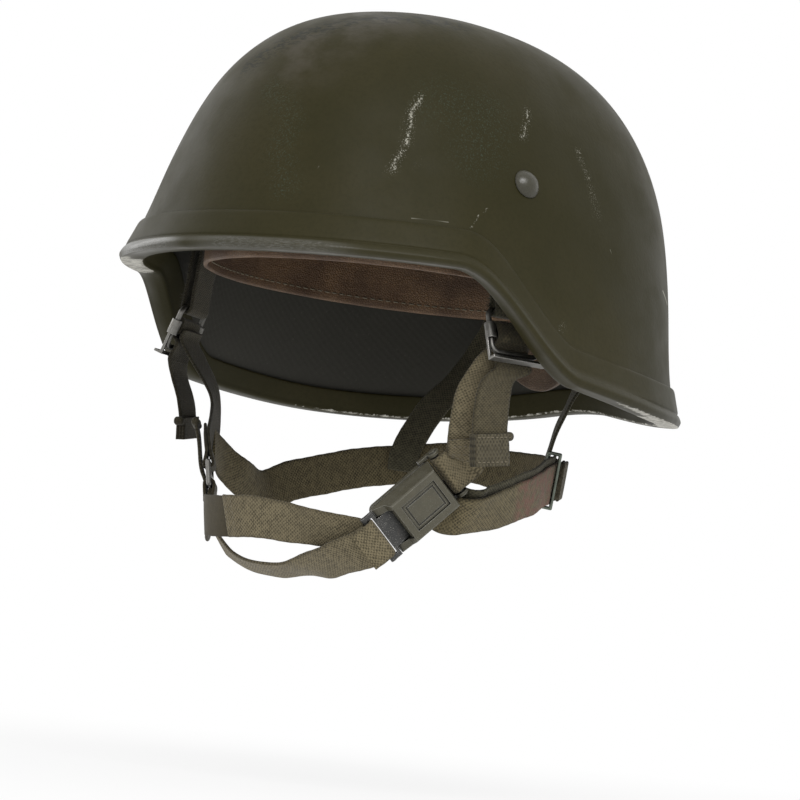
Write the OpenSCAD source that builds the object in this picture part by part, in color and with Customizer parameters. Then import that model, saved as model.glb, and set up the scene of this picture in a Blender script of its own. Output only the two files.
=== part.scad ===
// Laminate combat helmet with its suspension and its chin harness.
// The wearer faces -Y, the wearer's left is +X and the crown is +Z.
// The origin is the middle of the head opening, just below the lowest edge of the ear pieces.

/* [Shell] */
// Room between the headband and the laminate at each side
room_side = 28.5; // [27.5:0.5:34]
// Room between the headband and the laminate at the front
room_front = 20.5; // [18:0.5:26]
// Room between the headband and the laminate at the rear
room_rear = 26.5; // [22:0.5:32]
// Height of the crown
crown_z = 178; // [172:1:186]
// Thickness of the laminate
wall = 8.5; // [7:0.5:9.5]
// Height of the edge across the brow
brow_z = 56; // [48:0.5:60]
// Height of the edge behind the ears, its lowest stretch
edge_low_z = 7.5; // [4:0.5:10]
// Rise of the edge from behind the ears to the middle of the nape
nape_rise = 12.5; // [6:0.5:16]
// Angle from the front at which the edge starts to drop at the temple
temple_a = 57; // [52:1:62]
// Outward flare of the edge at the brow
flare_front = 9.5; // [6:0.5:13]
// Outward flare of the edge at the ears
flare_side = 8; // [6:0.5:12]
// Outward flare of the edge at the nape
flare_rear = 6.8; // [4:0.5:12]
// Height over which the flare fades
flare_fade = 18; // [14:1:24]

/* [Edge trim] */
// Height of the raised outer band of the moulded trim
trim_h = 15; // [14:0.5:20]
// Thickness of the raised band
trim_t = 1.5; // [1.2:0.1:2.4]
// Height of the rounded lip below the groove
lip_h = 3; // [2.5:0.5:4.5]
// Thickness of the trim under the edge
trim_web = 2.5; // [2:0.5:4]
// Height of the trim's leg inside the shell
trim_inner_h = 8.5; // [6:0.5:10]

/* [Screws] */
// Angle of the two side screws from the front
screw_side_a = 75; // [70:1:82]
// Height of the two side screws on the outside
screw_side_z = 96.5; // [90:0.5:104]
// Height of the rear screw on the outside
screw_rear_z = 86; // [80:0.5:96]
// Diameter of the domed screw head
screw_head_d = 13; // [11:0.5:16]
// Height of the domed screw head
screw_head_h = 3.6; // [3:0.5:5]
// Diameter of the screw shank
screw_shank_d = 5; // [4:0.5:6]
// Diameter of the rubber washer inside the shell
washer_d = 15; // [13:0.5:17]
// Thickness of the rubber washer
washer_t = 1.6; // [1:0.2:2.4]

/* [Suspension] */
// Half width of the headband's inner face
head_half_w = 79; // [74:1:82]
// Reach of the headband's inner face to the front
head_front = 93; // [88:1:97]
// Reach of the headband's inner face to the rear
head_rear = 101; // [96:1:108]
// Thickness of the headband leather
leather_t = 2.2; // [1.6:0.2:3]
// Height of the headband's lower edge
headband_z = 55; // [53:0.5:62]
// Width of the headband leather
headband_h = 35; // [28:1:38]
// Spring gap between the leather and the suspension band
liner_gap = 3.4; // [2.8:0.2:4.2]
// Thickness of the suspension band
band_t = 2.2; // [1.6:0.2:2.8]
// Height of the suspension band's lower edge
band_z = 74; // [70:1:78]
// Width of the suspension band
band_h = 22; // [18:1:26]
// Number of spring clips between leather and band
clip_count = 6; // [4:1:8]
// Height of the crown webbing over the origin
cradle_z = 146; // [138:1:150]
// Diameter of the crown pad
crown_pad_d = 74; // [60:2:90]
// Thickness of the nape pad
nape_pad_t = 7; // [5:0.5:9]

/* [Webbing] */
// Width of the harness webbing
web_w = 19; // [17:0.5:20]
// Thickness of one ply of webbing
web_t = 1.4; // [1.2:0.1:1.7]
// Thickness of the hemmed block at the end of a strap tail
hem_t = 4.4; // [3.6:0.2:6]
// Length of the left tail's hemmed block
hem_l = 14; // [11:1:16]
// Length of the right tail's hemmed block
right_hem_l = 10; // [8:1:14]

/* [Adjusters] */
// Wire diameter of the swinging frames
wire_d = 2.4; // [2:0.1:2.8]
// Height of a frame between its top and bottom bars
frame_h = 19.5; // [18:0.5:21]
// Outer diameter of the rolled ferrules
ferrule_d = 4.8; // [4.4:0.1:5.4]
// Length of the rolled ferrules
ferrule_l = 7; // [6:0.5:7.5]
// Height of the left frame's top bar
left_top_z = 41; // [38:0.5:46]
// Height of the right frame's top bar
right_top_z = 39; // [36:0.5:44]
// How far the frames hang outside the suspension band
hang_out = 7; // [6:0.5:9]
// Place of the left frame round the head, from the front
left_loop_a = 77; // [74:1:80]
// Place of the right frame round the head, from the front
right_loop_a = 65; // [62:1:70]
// Outward lean of the left frame
left_lean = 20; // [16:1:22]
// Outward lean of the right frame
right_lean = 20; // [16:1:22]

/* [Buckle] */
// Length of the buckle's base
buckle_l = 33.5; // [32:0.5:36]
// Width of the buckle's base
buckle_w = 24.5; // [23.5:0.5:26]
// Height of the buckle over its base
buckle_h = 12.5; // [12:0.5:14]
// Width of the raised face that frames the button
face_w = 20; // [19:0.5:21]
// Length of the release button
button_l = 18; // [16:0.5:18.5]
// Width of the release button
button_w = 13; // [12.5:0.5:14]
// Travel of the release button
button_travel = 2; // [1.9:0.1:2.2]
// Thickness of the plug's steel plate
plug_t = 2; // [1.6:0.1:2.2]
// Width of the plug's plate
plug_w = 15.5; // [14.5:0.5:16]
// Width of the plug's tongue inside the body
tongue_w = 9.5; // [8.5:0.5:9.5]

/* [Hidden] */

$fn = 40;
// Clearance between a soft piece or the trim and its neighbour
clear = 0.3;
// Running clearance of a pin, a slide or a button in its seat
run_clear = 0.15;
// Small overlap that joins two shapes of one piece
join = 0.05;

// Half width and reaches of the dome, without the flare
shell_half_w = head_half_w + room_side + wall;
shell_front = head_front + room_front + wall;
shell_rear = head_rear + room_rear + wall;

// Steps round the shell and rings from its edge to its crown
around = 72;
rings_low = 4;
rings_high = 17;

// Colours of the real finishes
paint_green = [0.23, 0.22, 0.17];
web_green = [0.35, 0.33, 0.25];
buckle_grey = [0.36, 0.35, 0.31];
steel_grey = [0.45, 0.45, 0.43];
leather_brown = [0.40, 0.26, 0.15];
rubber_black = [0.12, 0.12, 0.12];
band_black = [0.16, 0.17, 0.15];

// Small helpers for vectors and smooth steps
function unit(v) = v / norm(v);
function smooth(t) = let (c = min(max(t, 0), 1)) c * c * (3 - 2 * c);
function flat(list) = [for (part = list) each part];
function middle(ring) = [for (k = [0:2]) [for (p = ring) p[k]] * [for (p = ring) 1] / len(ring)];

// A value that changes round the helmet: front, side and rear values blended by squared cosines
function blend(a, front, side, rear) =
    pow(max(cos(a), 0), 2) * front + pow(sin(a), 2) * side + pow(max(-cos(a), 0), 2) * rear;

// Height of the lower edge: level over the brow, a fast and a slow S at the temple, then the nape
temple_end_a = 86;
ear_end_a = 118;
temple_share = 0.78;
function drop(a) = temple_share * smooth((a - temple_a) / (temple_end_a - temple_a))
    + (1 - temple_share) * smooth((a - temple_a) / (ear_end_a - temple_a));
function edge_z(angle) = let (a = angle <= 180 ? angle : 360 - angle)
    a <= ear_end_a ? brow_z - (brow_z - edge_low_z) * drop(a)
    : edge_low_z + nape_rise * pow((a - ear_end_a) / (180 - ear_end_a), 2);

// The dome is a superellipse whose roundness differs at the front, the sides and the rear
power_front = 2.9;
power_side = 1.55;
power_rear = 4.4;
root_front = 2.8;
root_side = 3.05;
root_rear = 2.4;
function dome(a, h) = pow(max(1 - pow(h, blend(a, power_front, power_side, power_rear)), 0),
    1 / blend(a, root_front, root_side, root_rear));
function reach(a) = cos(a) > 0 ? shell_front : shell_rear;
function flare(a, above) = blend(a, flare_front, flare_side, flare_rear) * exp(-above / flare_fade);
function wall_point(a, z, inset) = let (
    rho = dome(a, min(max(z, 0) / (crown_z - inset), 1)),
    out = flare(a, max(z - edge_z(a), 0)))
    [sin(a) * ((shell_half_w - inset) * rho + out), -cos(a) * ((reach(a) - inset) * rho + out), z];

// Outward direction of the shell at a point, from two small steps along its surface
function wall_normal(a, z) = let (
    across = wall_point(a + 0.5, z, 0) - wall_point(a - 0.5, z, 0),
    up = wall_point(a, z + 0.5, 0) - wall_point(a, z - 0.5, 0))
    unit(cross(across, up));

// Ring heights: even steps over the trim, then steps that close up towards the crown
trim_clear_h = trim_h + 1;
function ring_z(a, k, inset) = let (e = edge_z(a), base = e + trim_clear_h, top = crown_z - inset)
    k <= rings_low ? e + trim_clear_h * k / rings_low
    : base + (top - base) * sin(90 * (k - rings_low) / (rings_high + 1));

// Solids made of rings of points: one with two closed tips, one closed round in a loop
function band_faces(a, b, n) = [for (i = [0:n - 1]) let (j = (i + 1) % n)
    each [[a + i, b + j, a + j], [a + i, b + i, b + j]]];
module skin(rings, tips) {
    n = len(rings[0]);
    m = len(rings);
    polyhedron(concat(flat(rings), tips), concat(
        flat([for (k = [0:m - 2]) band_faces(k * n, (k + 1) * n, n)]),
        [for (i = [0:n - 1]) [n * m, i, (i + 1) % n]],
        [for (i = [0:n - 1]) [n * m + 1, (m - 1) * n + (i + 1) % n, (m - 1) * n + i]]));
}
module loop_skin(rings) {
    n = len(rings[0]);
    m = len(rings);
    polyhedron(flat(rings), flat([for (k = [0:m - 1]) band_faces(k * n, ((k + 1) % m) * n, n)]));
}

// A smooth curve through points chosen by hand (Catmull-Rom)
function along(p, k, t) = let (
    n = len(p) - 1, a = p[max(k - 1, 0)], b = p[k], c = p[min(k + 1, n)], d = p[min(k + 2, n)])
    0.5 * (2 * b + (c - a) * t + (2 * a - 5 * b + 4 * c - d) * t * t
        + (3 * b - a - 3 * c + d) * t * t * t);
function curve(p, steps) = concat(
    [for (k = [0:len(p) - 2], s = [0:steps - 1]) along(p, k, s / steps)], [p[len(p) - 1]]);

// Flat webbing along a curve. The normals say which way its outer face looks.
function web_ring(centre, dir, out, w, t) = let (
    side = unit(cross(dir, out)), face = unit(cross(side, dir)))
    [centre + side * w / 2, centre - side * w / 2,
        centre - side * w / 2 + face * t, centre + side * w / 2 + face * t];
module webbing(points, normals, w = web_w, t = web_t, steps = 5) {
    p = curve(points, steps);
    out = curve(normals, steps);
    last = len(p) - 1;
    rings = [for (k = [0:last]) web_ring(p[k], p[min(k + 1, last)] - p[max(k - 1, 0)], out[k], w, t)];
    skin(rings, [middle(rings[0]), middle(rings[last])]);
}

// Places children in a frame given by its origin, its x direction and roughly its y direction
module seat(origin, x, y) {
    ux = unit(x);
    uz = unit(cross(ux, y));
    uy = cross(uz, ux);
    multmatrix([[ux[0], uy[0], uz[0], origin[0]], [ux[1], uy[1], uz[1], origin[1]],
        [ux[2], uy[2], uz[2], origin[2]], [0, 0, 0, 1]]) children();
}

// A stadium with its two round ends at the origin and at a distance along +x
module stadium(reach_x, r) {
    circle(r = r);
    translate([reach_x, 0]) circle(r = r);
    translate([0, -r]) square([reach_x, 2 * r]);
}
// A sewn loop of webbing round a bar at the origin, closed at a distance along +x, wide along z
module web_loop(bar_d, reach_x, w = web_w) {
    inner = bar_d / 2 + clear;
    translate([0, 0, -w / 2]) linear_extrude(w) difference() {
        stadium(reach_x, inner + web_t);
        stadium(reach_x, inner);
    }
}

// SHELL AND TRIM

module shell() color(paint_green) difference() {
    outer = [for (k = [0:rings_low + rings_high]) [for (i = [0:around - 1])
        let (a = i * 360 / around) wall_point(a, ring_z(a, k, 0), 0)]];
    inner = [for (k = [0:rings_low + rings_high]) [for (i = [0:around - 1])
        let (a = i * 360 / around) wall_point(a, ring_z(a, k, wall), wall)]];
    skin(concat([for (k = [rings_low + rings_high:-1:0]) inner[k]], outer),
        [[0, 0, crown_z - wall], [0, 0, crown_z]]);
    each_screw() translate([0, 0, -2 * wall]) cylinder(d = screw_shank_d + 2 * clear, h = 3 * wall);
}

// Trim section as pairs: distance outside the shell's outer face, height above its edge
in_face = -wall - clear;
in_leg = -wall - clear - trim_t;
trim_section = [
    [clear, trim_h], [clear + 0.9, trim_h], [clear + trim_t, trim_h - 1.4],
    [clear + trim_t, lip_h + 1.4], [clear + trim_t - 0.8, lip_h + 0.5], [clear + trim_t, lip_h - 0.4],
    [clear + trim_t + 0.2, 0.6], [clear + trim_t - 0.8, -trim_web + 0.5], [clear, -trim_web],
    [in_face, -trim_web], [in_leg, -0.8], [in_leg, trim_inner_h / 2], [in_leg, trim_inner_h],
    [in_face, trim_inner_h], [in_face, trim_inner_h / 2], [in_face, -clear],
    [clear, -clear], [clear, trim_h / 4], [clear, trim_h / 2], [clear, trim_h * 3 / 4]];

// The trim keeps its width on the sloping temple, so heights stretch with the slope there
function edge_slope(a) = (edge_z((a + 359) % 360) - edge_z((a + 1) % 360))
    / norm(wall_point(a + 1, edge_z(a), 0) - wall_point(a - 1, edge_z(a), 0));
function plan_out(a) = unit([sin(a) / shell_half_w, -cos(a) / reach(a), 0]);
function trim_point(a, s) = let (
    stretch = sqrt(1 + pow(edge_slope(a), 2)),
    above = s[1] * (s[1] < 0 ? 1 : stretch),
    z = edge_z(a) + above,
    p = wall_point(a, max(z, edge_z(a)), 0))
    [p[0], p[1], z] + plan_out(a) * s[0];
module rim_trim() color(paint_green)
    loop_skin([for (i = [0:around - 1]) [for (s = trim_section) trim_point(i * 360 / around, s)]]);

// SCREWS

// Each screw's frame: +z points out of the shell at the outer surface
module each_screw() {
    for (s = [[screw_side_a, screw_side_z], [360 - screw_side_a, screw_side_z], [180, screw_rear_z]])
        let ($place = wall_point(s[0], s[1], 0)) seat(wall_point(s[0], s[1], 0), cross([0, 0, 1], wall_normal(s[0], s[1])),
            cross(wall_normal(s[0], s[1]), cross([0, 0, 1], wall_normal(s[0], s[1]))))
            children();
}
washer_gap = 4 * clear;
module liner_screws() color(paint_green) each_screw() {
    head_r = (pow(screw_head_d / 2, 2) + pow(screw_head_h, 2)) / (2 * screw_head_h);
    translate([0, 0, clear]) intersection() {
        translate([0, 0, screw_head_h - head_r]) sphere(r = head_r, $fn = 48);
        cylinder(d = screw_head_d, h = screw_head_h + 1);
    }
    shank_end = to_band($place) + band_t + 0.2;
    translate([0, 0, -shank_end]) cylinder(d = screw_shank_d, h = shank_end + clear + join);
}
module liner_washers() color(rubber_black) each_screw()
    translate([0, 0, -wall - washer_gap - washer_t]) difference() {
        cylinder(d = washer_d, h = washer_t);
        translate([0, 0, -1]) cylinder(d = screw_shank_d + 2 * run_clear, h = washer_t + 2);
    }

// SUSPENSION

// A point on an oval ring round the head, outset from the headband's inner face
function ring_reach(a) = cos(a) > 0 ? head_front : head_rear;
function oval(a, outset, z) =
    [sin(a) * (head_half_w + outset), -cos(a) * (ring_reach(a) + outset), z];
function oval_out(a) = unit([sin(a) / head_half_w, -cos(a) / ring_reach(a), 0]);
module oval_band(outset, t, z, h) loop_skin([for (i = [0:around - 1]) let (a = i * 360 / around)
    [oval(a, outset, z), oval(a, outset, z + h), oval(a, outset + t, z + h), oval(a, outset + t, z)]]);
// Children stand at angle a with +x outward and +z up
module at_oval(a, outset, z) seat(oval(a, outset, z), oval_out(a), cross([0, 0, 1], oval_out(a))) children();

band_in = leather_t + liner_gap;
band_out = band_in + band_t;
// Distance from the shell's outer face at a point to the band's outer face, in plan
function to_band(p) = norm([p[0], p[1]])
    * (1 - 1 / norm([p[0] / (head_half_w + band_out), p[1] / (ring_reach(atan2(p[0], -p[1])) + band_out)]));
module suspension_band() color(band_black) difference() {
    union() {
        oval_band(band_in, band_t, band_z, band_h);
        each_screw() {
            boss_end = to_band($place) + band_t / 2;
            boss_from = wall + washer_gap + washer_t + clear;
            translate([0, 0, -boss_end]) cylinder(d = washer_d - 3, h = boss_end - boss_from);
        }
    }
    each_screw() translate([0, 0, -to_band($place) - 2 * band_t])
        cylinder(d = screw_shank_d + 2 * run_clear, h = to_band($place) + band_t);
    at_rivet(left_loop_a) cylinder(d = rivet_d + 2 * run_clear, h = 2 * loop_in);
    mirror([1, 0, 0]) at_rivet(right_loop_a) cylinder(d = rivet_d + 2 * run_clear, h = 2 * loop_in);
}

module headband() color(leather_brown) oval_band(0, leather_t, headband_z, headband_h);

// A spring clip hooks under the band's lower edge and presses on the leather
clip_w = 10;
clip_t = 0.8;
module headband_clips() color(steel_grey) for (k = [0:clip_count - 1])
    at_oval((k + 0.5) * 360 / clip_count, 0, band_z) rotate([90, 0, 0])
        translate([0, 0, -clip_w / 2]) linear_extrude(clip_w) difference() {
            translate([leather_t + clear, -clip_t - clear])
                square([liner_gap + band_t + clip_t, band_h * 0.45]);
            translate([leather_t + clear + clip_t, -clear])
                square([liner_gap + band_t - clip_t, band_h]);
            translate([-join, -clip_t - clear - join]) square([leather_t + clear + join, band_h]);
        }

// Three webbing arcs cross over the head and hang inside the suspension band
cradle_angles = [0, 50, 130];
cradle_w = 18;
cradle_from = headband_z + headband_h + 2;
function cradle_point(a, lift) = let (
    side = oval(a, band_in - web_t - 4 * clear, cradle_from), top = cradle_z - side[2])
    lift < 0 ? [side[0], side[1], side[2] + lift]
    : [side[0] * cos(lift), side[1] * cos(lift), side[2] + top * sin(lift)];
function cradle_out(a, lift) = oval_out(a) * cos(max(lift, 0)) + [0, 0, sin(max(lift, 0))];
lifts = [-14, -7, 0, 18, 38, 60, 80, 90];
module crown_webbing() color(web_green) for (a = cradle_angles) {
    half_a = [for (l = lifts) cradle_point(a, l)];
    half_b = [for (k2 = [len(lifts) - 2:-1:0]) cradle_point(a + 180, lifts[k2])];
    out_a = [for (l = lifts) cradle_out(a, l)];
    out_b = [for (k2 = [len(lifts) - 2:-1:0]) cradle_out(a + 180, lifts[k2])];
    webbing(concat(half_a, half_b), concat(out_a, out_b), w = cradle_w, steps = 3);
}
pad_edge = 2;
module crown_pad() color(leather_brown) translate([0, 0, cradle_z - 9]) rotate_extrude($fn = 64)
    polygon([[0, 2.5], [crown_pad_d / 2 - 12, 1.2], [crown_pad_d / 2 - pad_edge, -2.5],
        [crown_pad_d / 2, -1.2], [crown_pad_d / 2 - 3, 2.2], [crown_pad_d / 2 - 14, 5.8],
        [0, 7.6]]);

nape_pad_from = 165;
nape_pad_steps = 8;
nape_pad_h = 40;
nape_pad_z = 62;
function nape_drop(f) = nape_pad_h * (0.75 + 0.25 * sin(180 * f));
module nape_pad() color(leather_brown) {
    rings = [for (k = [0:nape_pad_steps]) let (
        f = k / nape_pad_steps, a = nape_pad_from + (360 - 2 * nape_pad_from) * f,
        h = nape_drop(f), e = nape_pad_t * (0.55 + 0.45 * sin(180 * f)), o = leather_t + clear)
        [oval(a, o, nape_pad_z), oval(a, o + e * 0.8, nape_pad_z - h * 0.1),
            oval(a, o + e, nape_pad_z - h * 0.5), oval(a, o + e * 0.7, nape_pad_z - h * 0.92),
            oval(a, o, nape_pad_z - h), oval(a, o - 1.5, nape_pad_z - h * 0.6),
            oval(a, o, headband_z - 1)]];
    skin(rings, [middle(rings[0]), middle(rings[len(rings) - 1])]);
}

// HARNESS ANCHORS

// The loops start flat on the suspension band and end round the frames' top bars
loop_top_z = band_z + 8;
loop_ply = wire_d / 2 + clear + web_t;
loop_in = band_out + clear + loop_ply;
function bar_place(a, z) = oval(a, band_out, z) + oval_out(a) * hang_out;
rivet_d = 3;
rivet_head_d = 6.5;
rivet_head_h = 0.9;
module at_rivet(a) at_oval(a, 0, loop_top_z - 3) rotate([0, 90, 0]) children();
module anchor_loop(a, z) color(web_green) difference() {
    top = oval(a, 0, loop_top_z) + oval_out(a) * loop_in;
    bar = bar_place(a, z);
    seat(bar, top - bar, -oval_out(a)) web_loop(wire_d, norm(top - bar));
    at_rivet(a) cylinder(d = rivet_d + 2 * clear, h = 2 * loop_in);
}
module left_anchor_loop() anchor_loop(left_loop_a, left_top_z);
module right_anchor_loop() mirror([1, 0, 0]) anchor_loop(right_loop_a, right_top_z);

// A rivet with a head on each side pins each loop to the band
module loop_rivet(a) at_rivet(a) {
    inner = band_in - clear - rivet_head_h;
    outer = loop_in + loop_ply + 0.8;
    translate([0, 0, inner]) cylinder(d = rivet_head_d, h = rivet_head_h);
    translate([0, 0, inner]) cylinder(d = rivet_d, h = outer - inner);
    translate([0, 0, outer - join]) cylinder(d = rivet_head_d, h = rivet_head_h);
}
module loop_rivets() color(steel_grey) {
    loop_rivet(left_loop_a);
    mirror([1, 0, 0]) loop_rivet(right_loop_a);
}

// ADJUSTERS, built for the left side in a frame whose origin is the top bar's middle:
// +x outward, +y to the rear, +z up along the wire legs

leg_y = web_w / 2 + wire_d / 2 + 1.3;
corner_r = 3.2;
module adjuster(a, z, lean) seat(bar_place(a, z), oval_out(a), cross([0, 0, 1], oval_out(a)))
    rotate([0, -lean, 0]) children();

// A closed rectangle of round wire with bent corners
module wire_frame() color(steel_grey) {
    run_y = leg_y - corner_r;
    for (z = [0, -frame_h]) translate([0, -run_y, z]) rotate([-90, 0, 0])
        cylinder(d = wire_d, h = 2 * run_y);
    for (y = [-leg_y, leg_y]) translate([0, y, -frame_h + corner_r])
        cylinder(d = wire_d, h = frame_h - 2 * corner_r);
    for (y = [-1, 1], low = [0, 1])
        translate([0, y * run_y, -corner_r - low * (frame_h - 2 * corner_r)])
            rotate([0, -90, 0]) rotate([0, 0, y > 0 ? low * 90 : -90 - low * 90])
                rotate_extrude(angle = 90) translate([corner_r, 0]) circle(d = wire_d, $fn = 24);
}
module left_frame() adjuster(left_loop_a, left_top_z, left_lean) wire_frame();
module right_frame() mirror([1, 0, 0]) adjuster(right_loop_a, right_top_z, right_lean) wire_frame();

// Slide bar: ferrules on the legs, a plate for the webbing and a thumb lip below the frame.
// Side strips pass outside the frame's corners and carry the lip.
ferrule_z = -frame_h + corner_r + 2.8 + ferrule_l / 2;
plate_t = 1.2;
plate_h = 5.5;
strip_t = 1.1;
strip_y = leg_y + wire_d / 2 + run_clear;
lip_w = 4;
lip_in = 0.4;
lip_t = 1.2;
lip_z = -frame_h - wire_d / 2 - 1.8 - lip_t;
lip_tab = 2;
module slide_bar() color(steel_grey) {
    difference() {
        union() {
            for (y = [-leg_y, leg_y]) translate([0, y, ferrule_z - ferrule_l / 2])
                cylinder(d = ferrule_d, h = ferrule_l);
            translate([-plate_t / 2, -leg_y, ferrule_z - plate_h / 2])
                cube([plate_t, 2 * leg_y, plate_h]);
        }
        for (y = [-leg_y, leg_y]) translate([0, y, ferrule_z - ferrule_l / 2 - 1])
            cylinder(d = wire_d + 2 * run_clear, h = ferrule_l + 2);
    }
    for (y = [-strip_y - strip_t, strip_y]) translate([-plate_t / 2, y, lip_z])
        cube([plate_t, strip_t, ferrule_z - lip_z]);
    translate([-lip_in, 0, lip_z]) linear_extrude(lip_t) {
        translate([0, -strip_y - strip_t]) square([lip_w, 2 * (strip_y + strip_t)]);
        translate([lip_w / 2, strip_y + strip_t]) scale([1, 2 * lip_tab / lip_w]) circle(d = lip_w);
    }
}
module left_slide_bar() adjuster(left_loop_a, left_top_z, left_lean) slide_bar();
module right_slide_bar() mirror([1, 0, 0]) adjuster(right_loop_a, right_top_z, right_lean) slide_bar();

// Points and directions of an adjuster's frame in the helmet's frame
function turned(a, lean, p) = let (o = oval_out(a), b = cross([0, 0, 1], o))
    o * (p[0] * cos(lean) - p[2] * sin(lean)) + b * p[1]
    + [0, 0, p[0] * sin(lean) + p[2] * cos(lean)];
function placed(a, z, lean, p) = bar_place(a, z) + turned(a, lean, p);

// The tail's ply goes up behind the plate, over it, and down inside the bottom bar and the lip.
// The run's ply goes down on the tail's inner side.
over_x = plate_t / 2 + clear;
plate_top = ferrule_z + plate_h / 2;
under_x = -wire_d / 2 - 2 * clear - web_t;
cross_z = -frame_h + wire_d / 2 + 2.3;
tail_path = [[-over_x, 0, plate_top - 5], [-over_x, 0, plate_top - 0.4], [0, 0, plate_top + over_x],
    [over_x, 0, plate_top - 0.4], [over_x + 0.2, 0, ferrule_z - plate_h / 2 - 0.3],
    [under_x, 0, cross_z],
    [under_x, 0, lip_z + 2], [under_x - 0.6, 0, lip_z - 1.5]];
tail_faces = [[-1, 0, 0], [-1, 0, 0.5], [0, 0, 1], [1, 0, 0.5], [1, 0, 0], [1, 0, 0], [1, 0, 0],
    [1, 0, 0]];
run_x = -over_x - 2 * web_t - 4 * clear;
run_path = [[run_x, 0, plate_top - 2], [run_x, 0, ferrule_z - 4]];
run_faces = [[1, 0, 0], [1, 0, 0]];

// Hemmed end of a tail: a thick block with a small knob on one corner (side 1 rear, side -1 front)
knob_d = 4;
module hem_block(end, down, out, l, side) seat(end, down, cross(out, down)) {
    translate([0, -web_w / 2, -hem_t / 2 + web_t / 2]) cube([l, web_w, hem_t]);
    translate([1.4, side * (web_w / 2 + 0.6), -hem_t / 2 + web_t / 2]) cylinder(d = knob_d, h = hem_t);
}

// The tails hang from their adjusters
left_tail_hang = [[94.2, -31.3, 10.5], [92.6, -31.5, 1], [91.5, -30, -12]];
left_tail_face = [[0.95, -0.1, -0.3], [0.99, -0.15, -0.05], [0.99, -0.17, 0]];
right_tail_hang = [[92.3, -42.6, 8], [90, -40, -1], [89, -38, -10]];
right_tail_face = [[0.9, -0.4, -0.2], [0.9, -0.43, 0], [0.9, -0.43, 0]];
tail_down = [0.02, 0.14, -1];
module tail(a, z, lean, hang, faces, l, side) color(web_green) {
    webbing(concat([for (p = tail_path) placed(a, z, lean, p)], hang),
        concat([for (n = tail_faces) turned(a, lean, n)], faces), steps = 3);
    hem_block(hang[2], tail_down, faces[2], l, side);
}
module left_tail()
    tail(left_loop_a, left_top_z, left_lean, left_tail_hang, left_tail_face, hem_l, 1);
module right_tail() mirror([1, 0, 0])
    tail(right_loop_a, right_top_z, right_lean, right_tail_hang, right_tail_face, right_hem_l, -1);

// BUCKLE, in a frame whose origin is the middle of the base's rear edge on the jaw side:
// +x towards the plug, +y down the jaw, +z away from the jaw

buckle_pos = [66.5, -30, -33];
buckle_x = unit([-0.40, -0.566, -0.721]);
buckle_z = unit(cross(buckle_x, [0.218, 0.706, -0.674]));
buckle_y = cross(buckle_z, buckle_x);
module on_buckle() seat(buckle_pos, buckle_x, buckle_y) children();
function on_buckle_at(p) = buckle_pos + buckle_x * p[0] + buckle_y * p[1] + buckle_z * p[2];
// Children drawn in (x, z) are extruded along y, and children drawn in (y, z) along x
module side_profile(w) translate([0, w / 2, 0]) rotate([90, 0, 0]) linear_extrude(w) children();
module cross_profile(x, l) translate([x, 0, 0]) rotate([90, 0, 90]) linear_extrude(l) children();

base_h = 3;
edge_r = 3;
pocket_x = 8;
pocket_l = 15.5;
pocket_d = 2;
button_x = 5.2;
face_x = 2.6;
face_l = 24;
rear_bar_d = 3;
rear_bar_x = -3.6;
rear_bar_z = 4;
arm_w = 2;
rear_arm_w = 1.4;
// The side strap sits off the buckle's middle
rear_y = -2;
rear_half = web_w / 2 + 3 * clear;
// An outline with rounded corners, from the origin along +x and centred on y
module slab(l, w, h, r) linear_extrude(h) {
    translate([r, -w / 2]) square([l - 2 * r, w]);
    translate([0, -w / 2 + r]) square([l, w - 2 * r]);
    for (x = [r, l - r], y = [-w / 2 + r, w / 2 - r]) translate([x, y]) circle(r = r);
}

// Base plate with a pocket under the latch, and two arms with the bar for the side strap
module buckle_base() color(buckle_grey) on_buckle() {
    difference() {
        slab(buckle_l, buckle_w, base_h, edge_r);
        translate([pocket_x, -button_w / 2, base_h - pocket_d])
            cube([pocket_l, button_w, pocket_d + 1]);
    }
    for (y = [rear_y - rear_half - rear_arm_w, rear_y + rear_half]) {
        translate([rear_bar_x - 1, y, 0.5]) cube([edge_r - rear_bar_x + 2, rear_arm_w, base_h - 0.5]);
        translate([rear_bar_x, y, rear_bar_z]) rotate([-90, 0, 0])
            cylinder(d = rear_bar_d + 2.4, h = rear_arm_w);
    }
    translate([rear_bar_x, rear_y - rear_half - rear_arm_w - 0.6, rear_bar_z]) rotate([-90, 0, 0])
        cylinder(d = rear_bar_d, h = 2 * (rear_half + rear_arm_w + 0.6));
}

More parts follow.
